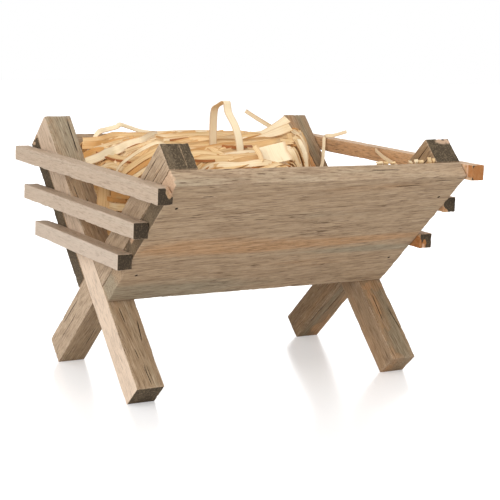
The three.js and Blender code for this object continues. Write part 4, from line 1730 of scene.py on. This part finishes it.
@dataclass
class Straw:
    """The bed of straw: a packed mound, strewn lots over it, laid ribbons and the loose ones above."""

    trough: Trough
    crown_above_edge: float = 4.0
    crown_height: float = 8.0
    fall: float = 30.0
    fall_start: float = 45.0
    fall_length: float = 18.0
    fall_skew: float = 0.69
    end_drop: float = 16.0
    end_length: float = 24.0
    wave_height: float = 1.1
    wave_along: float = 47.0
    wave_across: float = 39.0
    rest: float = 0.5
    sunk_rest: float = 0.1
    thickness: float = 0.28
    laid_thickness: float = 0.38
    loose_thickness: float = 0.42
    loop_height: float = 31.0
    arch_height: float = 10.0
    mound_seed: int = 83
    mound_cuts: tuple[int, int, int] = (150, 120, 24)
    mound_depth: float = 3.4
    mound_gap: float = 0.6
    wall_seeds: tuple[int, int] = (108, 110)
    wall_count: int = 150

    END_MARGIN = 0.5
    DEEPEST_SINK = 6
    ROUTE_SAMPLES = 12
    LOT_STATIONS = 13
    ANCHORS = (-80, 60)
    ACROSS_SHARE = 0.96
    HEADINGS = (-1.6, 1.15)
    BOW = 0.035
    ARCHES = (-0.3, 1.2)
    RIPPLES = (0.05, 0.3)
    RIPPLE_PACES = (4, 11)
    BACK_DIP = 2.6
    BACK_DIP_SPAN = (35, 80)
    LEAST_ROOM = 2.2
    TWIST = 9
    BACK_ROLL = 1.4
    BACK_ROLL_SPAN = (25, 70)
    FALL_PALENESS = 0.35
    FALL_PALE_SPAN = (42, 56)
    LEFT_SHADE = 0.2
    LEFT_SHADE_SPAN = (-84, -66)
    WALL_STATIONS = 11
    WALL_INSET = 2.0
    WALL_FOOT = 6
    WALL_DEPTH = 70
    WALL_TOP = 4
    WALL_ACROSS = 0.75
    WALL_STEEPNESS = 0.16
    WALL_BOW = 1.5
    WALL_HALVES = (8, 26)
    WALL_WIDTHS = (2.8, 6.0)
    WALL_TINTS = (0.1, 0.95)
    WALL_ROLL = (82, 12)

    @property
    def half_length(self) -> float:
        """Half the trough's length between its two frames."""
        return self.trough.frame_half - 2 * self.trough.leg_half

    def top(self, x: Array, y: Array) -> Array:
        """Height of the heap: the edge and a crown, less a skewed smooth fall and a rounded left end.

        The rounding grows with the square of how far a place lies into the end. Two sine waves come
        on top.

        Args:
            x: Places along the trough.
            y: Places across it.

        Returns:
            The height at each place.
        """
        fall = smooth_rise(x - self.fall_skew * y, self.fall_start, self.fall_start + self.fall_length)
        crown = self.crown_height * (y / self.trough.edge_half) ** 2
        into_end = np.clip(1 - (x + self.half_length) / self.end_length, 0, 1)
        waves = np.sin(FULL_TURN * x / self.wave_along)
        waves = waves + np.sin(FULL_TURN * (y + x / 2) / self.wave_across)
        sunk = crown + self.fall * fall + self.end_drop * into_end ** 2
        return self.trough.edge_height + self.crown_above_edge - sunk + self.wave_height * waves

    def slope_frame(self, x: Array, y: Array, turn: Array) -> tuple[Array, Array]:
        """Gives the heap's upward normal and, at a heading in plan, the direction along its slope.

        The slopes are central differences of the height. The normal is (-slope in X, -slope in Y, 1)
        made one long.

        Args:
            x: Places along the trough.
            y: Places across it.
            turn: Heading at each place, as an angle from X.

        Returns:
            The normals and the directions.
        """
        step = 0.5
        rise_x = (self.top(x + step, y) - self.top(x - step, y)) / (2 * step)
        rise_y = (self.top(x, y + step) - self.top(x, y - step)) / (2 * step)
        upward = np.stack([-rise_x, -rise_y, np.ones_like(rise_x)], axis=-1)
        heading = [np.cos(turn), np.sin(turn)]
        along = np.stack([*heading, rise_x * heading[0] + rise_y * heading[1]], axis=-1)
        return tuple(vector / np.linalg.norm(vector, axis=-1)[..., None] for vector in (upward, along))

    def mound(self) -> Shell:
        """Packs the trough under the ribbons: a block whose sides follow the boards.

        Its top lies at an even depth under the heap's, roughened by noise.

        Returns:
            The mound's surface.
        """
        trough = self.trough
        ends = ((-self.half_length + 0.7, self.half_length - 0.7), (-1, 1), (0, 1))
        stations = [np.linspace(*limits, cuts) for limits, cuts in zip(ends, self.mound_cuts)]
        points, quads = box_lattice(stations)
        x, share, rise = points.T
        noise = Noise(self.mound_seed)
        floor = trough.strip_top + self.mound_gap
        crest = self.top(x, share * trough.edge_half) - self.mound_depth
        height = floor + rise * (crest - floor)
        y = share * (trough.wall(height, trough.board_inner) - self.mound_gap)
        places = np.stack([x, y, height], axis=1)
        rough = noise.at(places, (16.0, 2.6, 2.6)) + 0.6 * noise.at(places + 40, (6.0, 1.1, 1.1))
        height = np.where(rise > 0.999, height + 0.9 * rough, height)
        shell = Shell(np.stack([x, y, height], axis=1), quads)
        shell.marks["strip"] = np.stack([x, y + 0.7 * height, 0 * x], axis=1)
        # Painted shadow: a tint past 1 gives the mound the shadow colour, so the gaps between ribbons read
        # as shade.
        shell.marks["lay"] = np.stack([0 * x, 0 * x, 1.2 + 0.2 * rough], axis=1)
        return shell

    def keep_in_room(self, paths: Array, clearance: float) -> Array:
        """Holds stations between the boards, and between the legs beyond the trough's ends.

        What would pass a board climbs it instead. What would enter a leg goes the shorter way out.

        Args:
            paths: Stations.
            clearance: Room that they keep from boards and legs.

        Returns:
            The stations where they may be.
        """
        trough = self.trough
        end = self.half_length
        x, y, z = paths[..., 0], paths[..., 1], paths[..., 2]
        by_legs = trough.wall(z, -trough.leg_half) - clearance
        into_y = np.abs(y) - by_legs
        into_x = np.abs(x) - (end - clearance)
        inside = (into_y > 0) & (into_x > 0)
        x = np.where(inside & (into_x <= into_y), np.sign(x) * (end - clearance), x)
        y = np.where(inside & (into_x > into_y), np.sign(y) * by_legs, y)
        by_boards = trough.wall(z, trough.board_inner) - clearance
        over = np.clip(np.abs(y) - by_boards, 0, None)
        y = np.sign(y) * np.minimum(np.abs(y), by_boards)
        return np.stack([x, y, z - 0.1 * over], axis=-1)

    def strew(self, lot: Lot) -> Shell:
        """Strews one lot of ribbons over the heap.

        In plan each ribbon is a straight line with a shallow bow, cut off at the trough's ends and
        where the lot ends. Its height is the heap's, plus its own level, a low arch, ends that lift
        with the fourth power and a slight ripple. It lies in the heap's slope, turned by its roll.

        Args:
            lot: The lot.

        Returns:
            The ribbons as one surface.
        """
        draw = np.random.default_rng(lot.seed)
        edge = self.trough.edge_half
        each = (lot.count, 1)
        t = np.linspace(0, 1, self.LOT_STATIONS)
        swing = 2 * t - 1
        anchor = draw.uniform(*self.ANCHORS, each)
        y0 = draw.uniform(-self.ACROSS_SHARE, self.ACROSS_SHARE, each) * edge
        slope = np.clip(np.tan(np.radians(draw.normal(0, lot.spread, each))), *self.HEADINGS)
        pace = 1 - self.fall_skew * slope
        offset = self.fall_skew * (y0 - slope * anchor)
        left = (draw.uniform(*lot.starts, each) + offset) / pace
        left = np.maximum(left, -self.half_length - draw.uniform(0, 3, each))
        right = (draw.uniform(*lot.ends, each) + offset) / pace
        right = np.minimum(right, self.half_length - 1)
        length = np.minimum(draw.uniform(*lot.lengths, each), right - left)
        start = left + draw.random(each) ** 0.8 * (right - left - length)
        x = start + length * t
        bow = draw.normal(0, self.BOW, each) * length
        y = y0 + slope * (x - anchor) + bow * swing ** 2
        within = np.clip(y, -edge, edge)

        dip = smooth_rise(y, *self.BACK_DIP_SPAN)
        level = np.linspace(*lot.levels, lot.count)[:, None] - self.BACK_DIP * dip
        lifted = draw.random(each) ** 3 * lot.lift * swing ** 4
        arch = draw.uniform(*self.ARCHES, each) * (1 - swing ** 2)
        ripple = draw.uniform(*self.RIPPLES, each)
        ripple = ripple * np.sin((t + y0) * draw.uniform(*self.RIPPLE_PACES, each))
        z = self.top(x, within) + level + arch + lifted + ripple
        paths = self.keep_in_room(np.stack([x, y, z], axis=-1), self.LEAST_ROOM)

        roll = np.radians(draw.normal(*lot.roll, each)) + np.radians(draw.normal(0, self.TWIST, each)) * t
        roll = roll - self.BACK_ROLL * math.radians(lot.roll[0]) * smooth_rise(y, *self.BACK_ROLL_SPAN)
        upward, along = self.slope_frame(x, within, np.arctan(slope) + 0 * t)
        sides = np.cos(roll)[..., None] * np.cross(upward, along) + np.sin(roll)[..., None] * upward
        width = draw.uniform(*lot.widths, each) * (1 + 0.06 * np.sin(9 * t + anchor))
        tints = draw.uniform(*lot.tints, lot.count)
        skewed = x[:, -1] - self.fall_skew * y[:, -1]
        tints -= self.FALL_PALENESS * smooth_rise(skewed, *self.FALL_PALE_SPAN)
        tints += self.LEFT_SHADE * (1 - smooth_rise(x[:, 0], *self.LEFT_SHADE_SPAN))
        cups = draw.normal(0, 0.1, lot.count)
        kept = length[:, 0] > 0.5 * lot.lengths[0]
        return strips(paths[kept], width[kept], sides[kept], tints[kept], self.thickness, cups[kept])

    def end_wall(self, seed: int, sign: int) -> Shell:
        """Closes one end of the bed with ribbons that lie across the trough, one above another.

        Each is a shallow bow in the plane of the end. Its ends stop at the boards' inner faces, and
        its upper edge below the heap's top.

        Args:
            seed: Seed of the draw.
            sign: The end, -1 or 1.

        Returns:
            The ribbons as one surface.
        """
        draw = np.random.default_rng(seed)
        trough = self.trough
        each = (self.wall_count, 1)
        t = np.linspace(-1, 1, self.WALL_STATIONS)
        x = sign * (self.half_length + draw.uniform(-0.4, 0.9, each) + 0.5 * np.cos(3 * t))
        low = trough.strip_top + self.WALL_FOOT
        share = draw.random(each)
        y_limit = trough.wall(low + share * self.WALL_DEPTH, trough.board_inner) - 4
        y0 = draw.uniform(-self.WALL_ACROSS, self.WALL_ACROSS, each) * y_limit
        inset = sign * (self.half_length - self.WALL_INSET)
        highest = self.top(inset + 0 * y0, y0) - self.WALL_TOP
        z0 = low + share * (highest - low)
        half = draw.uniform(*self.WALL_HALVES, each)
        y = y0 + half * t
        z = z0 + draw.normal(0, self.WALL_STEEPNESS, each) * half * t
        z = z + draw.uniform(-self.WALL_BOW, self.WALL_BOW, each) * t ** 2
        limit = trough.wall(z, trough.board_inner) - 2.5
        y = np.clip(y, -limit, limit)
        z = np.minimum(z, self.top(inset + 0 * y, y) - 3.5)
        roll = (np.radians(draw.normal(*self.WALL_ROLL, each)) + 0 * t)[..., None]
        sides = np.cos(roll) * np.array([1.0, 0.0, 0.0]) + np.sin(roll) * np.array([0.0, 0.0, 1.0])
        width = draw.uniform(*self.WALL_WIDTHS, each) + 0 * t
        tints = draw.uniform(*self.WALL_TINTS, self.wall_count)
        cups = draw.normal(0, 0.12, self.wall_count)
        return strips(np.stack([x, y, z], axis=-1), width, sides, tints, self.thickness, cups)

    def loose_ribbons(self) -> dict[str, Ribbon]:
        """Lists the ribbons that stand clear of the heap, as the solids have them.

        Returns:
            Each ribbon by its node.
        """
        trough = self.trough
        low_corner, high_corner = node_box("right_slat_top")
        face, crest = low_corner[0], high_corner[2]
        edge = trough.edge_half
        loop, flake, short = (-edge + inset for inset in (58.0, 17.7, 24.7))
        strand, arch, upper, lower, bent = (edge - inset for inset in (52.7, 32.7, 90.7, 108.7, 134.7))
        hooked = trough.wall(crest, -trough.leg_half) - 15.2
        tall, low, rest = self.loop_height, self.arch_height, self.rest
        upright = (-0.05, 0.7, 0.71)
        return {
            "straw_loop": Ribbon((
                (-38, loop + 18, rest), (-38, loop + 18.8, tall * 0.39), (-38, loop + 18.4, tall * 0.75),
                (-38, loop + 16.9, tall * 0.86), (-38, loop + 10.9, tall * 0.95), (-38, loop + 2.8, tall),
                (-38, loop - 0.1, tall * 0.79), (-38, loop - 10.7, tall * 0.52),
                (-38, loop - 16.3, tall * 0.24), (-38, loop - 17.8, rest),
            ), 5.4, (1.0, 0.0, 0.0), -0.3, 0.2),
            "straw_leaning_strand": Ribbon((
                (66, strand - 4, rest), (56, strand, 5.2), (45, strand + 5, 13.6), (37, strand + 8, 19.9),
            ), 3.0, (0.4, -0.2, 0.9), -0.25, 0.2),
            "straw_hooked_strand": Ribbon((
                (face - 13, hooked - 14, crest - 22), (face - 9, hooked - 10, crest - 17),
                (face - 4, hooked - 3, crest - 7), (face - 1, hooked, crest + 1),
                (face + 4, hooked - 3, crest + 2), (face + 9, hooked - 14, crest + 6),
            ), 2.6, FACING, -0.2, 0.2, across_end=(0.1, 0.2, 1.0)),
            "straw_short_strand": Ribbon((
                (face - 1.2, short + 70, crest - 2), (face - 12, short + 46, crest - 4),
                (face - 24, short + 18, crest - 5), (face - 31, short, crest - 6),
            ), 3.0, (0.0, 0.2, 1.0), 0.0, 0.2),
            "straw_wide_flake": Ribbon((
                (-28.5, flake - 8.6, 2.4), (-26, flake, 6), (-24, flake + 9, 11.8),
            ), 18.5, (0.86, -0.47, 0.2), -0.3, 0.0),
            "straw_upper_ribbon": Ribbon((
                (-8, upper + 2, 0.6), (7, upper, 0.8), (23, upper, 4.4), (35.6, upper, 11.1),
                (44.6, upper, 15.5),
            ), 7.0, upright, 0.1, 0.0, 0.5),
            "straw_lower_ribbon": Ribbon((
                (-10, lower, 0.8), (4, lower, 1.5), (17, lower, 3.6), (26.5, lower, 6.9),
                (35.7, lower, 10.6),
            ), 7.0, upright, 0.15, 0.0, 0.5),
            "straw_bent_ribbon": Ribbon((
                (29, bent + 15, 1.2), (29.5, bent + 8, 6.2), (28.5, bent + 1, 8.3), (26, bent - 8, 9.8),
                (24, bent - 13, 6), (22, bent - 18, rest),
            ), 4.4, FACING, 0.0, 0.15),
            "straw_arch": Ribbon((
                (-86, arch - 5, rest), (-78, arch - 3, low * 0.75), (-70, arch, low * 0.68),
                (-62, arch, low * 0.87), (-60, arch, low), (-53, arch, low * 0.73),
                (-42, arch, low * 0.22), (-30, arch - 2, rest),
            ), 4.0, (0.1, 0.7, 0.6), 0.0, 0.15),
        }

    def board_tips(self) -> tuple[Ribbon, ...]:
        """Lists the ribbons that lean on the front board's inner face, their tips above its edge.

        Each row has the place along the board, the tip's height over the edge, the drift down the
        board, the width, the tint and the tilt.

        Returns:
            The ribbons.
        """
        trough = self.trough
        edge = trough.edge_height
        rows = (
            (45, 1.2, -0.3, 5.0, -0.1, 0.25),
            (50, 1.0, -0.2, 4.0, 0.3, -0.2),
            (56, 0.6, -0.4, 3.4, 0.1, 0.5),
            (70, 1.2, 0.3, 3.6, -0.1, -0.4),
            (75, 2.0, 0.1, 3.0, -0.2, 0.5),
            (79, 1.4, -0.3, 4.2, 0.0, 0.2),
            (86, 3.2, 0.25, 3.6, 0.1, -0.5),
            (90, 2.4, -0.2, 3.0, 0.2, 0.4),
        )
        ribbons = []
        for x, tip, drift, width, tint, tilt in rows:
            route = [
                (x + drift * down, 2.6 - trough.wall(edge - down, trough.board_inner), edge - down)
                for down in (26.0, 17.0, 8.0, 0.0)
            ]
            route.append((x, 3.4 - trough.edge_half, edge + tip))
            ribbons.append(Ribbon(tuple(route), width, (1.0, 0.0, tilt), tint))
        return tuple(ribbons)

    def left_end_ribbons(self) -> tuple[Ribbon, ...]:
        """Lists the broad pieces that close the left end, seen between its slats.

        Each row has the width, the tint, the direction of the width and a route whose X counts from
        the trough's end.

        Returns:
            The ribbons.
        """
        level = (0.0, -0.15, 1.0)
        rows = (
            (9.0, 0.35, FACING, (-5, 20, 106), (-4.2, 20.4, 116), (-3.8, 20.6, 124), (-4.4, 19.6, 132.4)),
            (3.0, -0.1, FACING, (-6.2, 24, 107), (-5.6, 24.2, 116), (-5.2, 24.4, 124), (-5.6, 23.6, 131)),
            (2.6, -0.3, level, (-5.4, 26, 132.2), (-6, 20, 131.2), (-6.4, 13, 129.6)),
            (5.4, 0.95, level, (-1.6, 14, 124.6), (-2.4, 0, 126.4), (-2.6, -16, 128.4)),
            (5.2, 0.3, level, (-2.0, 15, 117.0), (-3.4, 2, 118), (-3.6, -24, 121.4)),
            (4.2, 1.05, level, (-2.2, 13, 111.2), (-2.6, 2, 112.2), (-2.4, -12, 114.4)),
            (3.0, 1.15, level, (-1.6, 34, 120), (-1.8, 14, 121.5), (-1.2, -8, 123)),
            (6.0, 0.8, level, (-1.8, -2, 136), (-2.0, -20, 137.6), (-1.4, -38, 139)),
            (6.0, 0.7, level, (-2.2, 26, 135), (-2.4, 8, 137.4), (-2, -8, 138)),
            (5.0, 0.8, level, (-2.6, 16, 99), (-2.2, 2, 101), (-2.0, -10, 102)),
        )
        return tuple(
            Ribbon(tuple((x - self.half_length, y, z) for x, y, z in route), width, across, tint)
            for width, tint, across, *route in rows
        )

    def placed(self, route: Route) -> Array:
        """Turns a route's rises over the heap into heights over the ground.

        Args:
            route: The route's points.

        Returns:
            The points, one row each.
        """
        points = np.array(route, dtype=float)
        over_heap = self.top(points[:, 0], points[:, 1]) + points[:, 2]
        points[:, 2] = np.where(points[:, 2] < MOST_RISE, over_heap, points[:, 2])
        return points

    def lay(self, ribbons: tuple[Ribbon, ...], thickness: float) -> Shell:
        """Shapes ribbons along their smooth routes; stations that would sink rest on the heap.

        Args:
            ribbons: The ribbons.
            thickness: Thickness of each.

        Returns:
            All of them as one surface.
        """
        parts = []
        for ribbon in ribbons:
            samples = self.ROUTE_SAMPLES * (len(ribbon.route) - 1) + 1
            path = smooth_route(self.placed(ribbon.route), samples)
            share = np.linspace(0, 1, samples)
            heap = self.top(path[:, 0], path[:, 1]) + self.sunk_rest
            within = np.abs(path[:, 0]) < self.half_length - self.END_MARGIN
            on_heap = within & (path[:, 2] > heap - self.DEEPEST_SINK)
            path[:, 2] = np.where(on_heap, np.maximum(path[:, 2], heap), path[:, 2])
            twist = smooth_rise(share, 0.4, 0.75)[:, None]
            across_end = np.array(ribbon.across_end or ribbon.across)
            sides = np.array(ribbon.across) * (1 - twist) + across_end * twist
            width = ribbon.width * (1 + 0.04 * np.sin(share * 9.0 + ribbon.width * 20))
            width = width * (1 - ribbon.narrowing * (1 - smooth_rise(share, 0.2, 0.9)))
            tint, cup = np.array([ribbon.tint]), np.array([ribbon.cup])
            parts.append(strips(path[None], width[None], sides[None], tint, thickness, cup))
        return joined(parts)

    def build(self, finish: bpy.types.Material) -> None:
        """Makes the mound, the strewn lots, the end walls, the laid ribbons and the loose ones.

        Args:
            finish: Their finish.
        """
        settle(self.mound().make("straw_packed_mound", finish), Slot.STRAW, "straw_heap")
        low, under, upper = (
            joined([self.strew(lot) for lot in lots]) for lots in (LOW_LOTS, UNDER_LOTS, UPPER_LOTS)
        )
        settle(low.make("straw_low_layer", finish), Slot.STRAW, "straw_thin_layer")
        settle(under.make("straw_under_layer", finish), Slot.STRAW)
        settle(upper.make("straw_upper_layer", finish), Slot.STRAW)
        left_wall, right_wall = (self.end_wall(seed, sign) for seed, sign in zip(self.wall_seeds, (-1, 1)))
        settle(left_wall.make("straw_left_end", finish), Slot.STRAW)
        settle(right_wall.make("straw_right_end", finish), Slot.STRAW)
        laid = self.lay(LAID_RIBBONS + self.board_tips(), self.laid_thickness)
        settle(laid.make("straw_laid_ribbons", finish), Slot.STRAW)
        closing = self.lay(self.left_end_ribbons(), self.laid_thickness)
        settle(closing.make("straw_left_end_ribbons", finish), Slot.STRAW)
        for name, ribbon in self.loose_ribbons().items():
            loose = self.lay((ribbon,), self.loose_thickness)
            settle(loose.make(name.replace("straw_", "ribbon_"), finish), Slot.STRAW, name)


@dataclass(frozen=True)
class Studio:
    """White floor and backdrop, soft light that is strongest from the left, and the camera."""

    camera_place: Triple = (-0.47904, -0.79991, 0.25421)
    yaw: float = math.radians(-31.477)
    pitch: float = math.radians(-10.321)
    roll: float = math.radians(2.575)
    lens: float = 96.99
    sensor: float = 36.0
    aim: Triple = (0, 0, 0.09)
    floor_size: float = 6.0
    floor_colour: Colour = (0.86, 0.86, 0.86, 1.0)
    floor_roughness: float = 0.19
    floor_glow: float = 0.35
    sky: Colour = (0.97, 0.98, 1.0, 1.0)
    sky_strength: float = 0.62
    white: Colour = (1.0, 1.0, 1.0, 1.0)
    lamps: tuple[tuple[str, Triple, float, float], ...] = (
        ("key_left", (-1.5, -0.55, 0.85), 1.0, 13.4),
        ("fill_top", (0.1, -0.5, 1.7), 1.4, 7.5),
        ("fill_front", (-0.7, -1.6, 0.4), 1.2, 4.6),
        ("fill_back", (1.0, 1.5, 0.7), 1.4, 5.0),
    )

    def camera(self) -> None:
        """Stands the camera at the photograph's viewpoint.

        Forward is the heading tipped by the pitch. The picture's right and up are the level ones,
        turned about forward by the roll.
        """
        level = Vector((-math.sin(self.yaw), math.cos(self.yaw), 0))
        right = Vector((math.cos(self.yaw), math.sin(self.yaw), 0))
        zenith = Vector((0, 0, 1))
        forward = level * math.cos(self.pitch) + zenith * math.sin(self.pitch)
        up = zenith * math.cos(self.pitch) - level * math.sin(self.pitch)
        turned_right = right * math.cos(self.roll) + up * math.sin(self.roll)
        turned_up = up * math.cos(self.roll) - right * math.sin(self.roll)
        data = bpy.data.cameras.new("studio_camera")
        data.lens = self.lens
        data.sensor_width = self.sensor
        data.clip_start = 0.01
        data.clip_end = 50
        camera = bpy.data.objects.new("studio_camera", data)
        axes = Matrix((turned_right, turned_up, -forward)).transposed().to_4x4()
        camera.matrix_world = Matrix.Translation(self.camera_place) @ axes
        bpy.context.scene.collection.objects.link(camera)
        bpy.context.scene.camera = camera

    def lamp(self, name: str, place: Triple, size: float, power: float) -> None:
        """Hangs a square soft light that faces the middle of the object.

        Args:
            name: Name of the lamp.
            place: Where it hangs.
            size: Length of its sides.
            power: Its power in watts.
        """
        data = bpy.data.lights.new(name, "AREA")
        data.shape = "SQUARE"
        data.size = size
        data.energy = power
        lamp = bpy.data.objects.new(name, data)
        lamp.location = place
        lamp.rotation_mode = "QUATERNION"
        lamp.rotation_quaternion = (Vector(self.aim) - Vector(place)).to_track_quat("-Z", "Y")
        bpy.context.scene.collection.objects.link(lamp)

    def seen(self, shader: Shader) -> Signal:
        """Tells camera, mirror and glass rays from those that carry light.

        Args:
            shader: The tree that asks.

        Returns:
            A signal that is 1 for the former and 0 for the latter.
        """
        rays = shader.add("ShaderNodeLightPath", {}, {})
        camera, glossy, through = (
            Signal(shader, rays.outputs[name])
            for name in ("Is Camera Ray", "Is Glossy Ray", "Is Transmission Ray")
        )
        return camera + glossy + through

    def world(self) -> None:
        """Lights the object from all sides, and shows white where nothing stands."""
        world = bpy.data.worlds.new("studio_world")
        bpy.context.scene.world = world
        shader = Shader(world)
        light = shader.value("ShaderNodeBackground", {}, {"Color": self.sky, "Strength": self.sky_strength})
        white = shader.value("ShaderNodeBackground", {}, {"Color": self.white, "Strength": 1.0})
        mixed = shader.value("ShaderNodeMixShader", {}, {0: self.seen(shader), 1: light, 2: white})
        shader.add("ShaderNodeOutputWorld", {}, {"Surface": mixed})

    def floor(self) -> None:
        """Lays the white floor, which keeps the object's soft shadow."""
        half = self.floor_size / 2
        mesh = bpy.data.meshes.new("studio_floor")
        corners = [(-half, -half, 0), (half, -half, 0), (half, half, 0), (-half, half, 0)]
        mesh.from_pydata(corners, [], [(0, 1, 2, 3)])
        shader = Shader(bpy.data.materials.new("studio_white"))
        base = shader.value("ShaderNodeBsdfPrincipled", {}, {
            "Base Color": self.floor_colour, "Roughness": self.floor_roughness, "Specular IOR Level": 1.0,
        })
        glow = shader.value("ShaderNodeEmission", {}, {
            "Color": self.white, "Strength": self.seen(shader) * self.floor_glow,
        })
        both = shader.value("ShaderNodeAddShader", {}, {0: base, 1: glow})
        shader.add("ShaderNodeOutputMaterial", {}, {"Surface": both})
        mesh.materials.append(shader.owner)
        floor = bpy.data.objects.new("studio_floor", mesh)
        bpy.context.scene.collection.objects.link(floor)

    def build(self) -> None:
        """Sets the camera, the floor and the light."""
        bpy.context.scene.view_settings.view_transform = "Standard"
        self.camera()
        self.world()
        self.floor()
        for lamp in self.lamps:
            self.lamp(*lamp)


def main() -> None:
    """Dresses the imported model: timber, brads, straw and studio."""
    logging.basicConfig(level=logging.INFO, format="%(message)s")
    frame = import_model()
    trough = Trough.from_frame()
    LOG.info("trough: %s", trough)

    board_wood = WeatheredWood(plain=paint(184, 157, 126), worn=0.15).dress("weathered_board")
    leg_wood = WeatheredWood(
        plain=paint(167, 141, 110), pale=paint(232, 208, 184), contrast=1.05, dashes=0.35,
    ).dress("weathered_leg")
    # Darker copy of the leg wood for the right frame: painted shade, since that frame stands in the trough's
    # shade.
    shaded_wood = WeatheredWood(
        plain=paint(158, 130, 97), grey=paint(144, 130, 104), contrast=1.0, dashes=0.35,
    ).dress("weathered_right_leg_painted_shade")
    slat_wood = WeatheredWood(
        pale=paint(204, 186, 168), end=paint(58, 47, 34), end_pale=paint(102, 86, 64),
        contrast=0.55, dashes=0.25,
    ).dress("weathered_slat")
    warm_wood = WeatheredWood(
        plain=paint(198, 162, 122), deep=paint(158, 116, 76), warm=paint(212, 160, 104),
        end=paint(58, 47, 34), end_pale=paint(102, 86, 64), contrast=1.1, dashes=0.4,
    ).dress("weathered_right_slat")
    floor_wood = WeatheredWood(plain=paint(160, 136, 106)).dress("floor_timber")
    straw = StrawFinish().dress("flat_wood_straw")
    steel = BradFinish().dress("dulled_steel")

    Studio().build()
    Frames(trough).build({"left": leg_wood, "right": shaded_wood})
    Boards(trough).build(board_wood)
    Brads(frame["nodes"]).build(steel)
    EndSlats().build({"left": slat_wood, "right": warm_wood})
    FloorStrip().build(floor_wood)
    Straw(trough).build(straw)


if __name__ == "__main__":
    main()
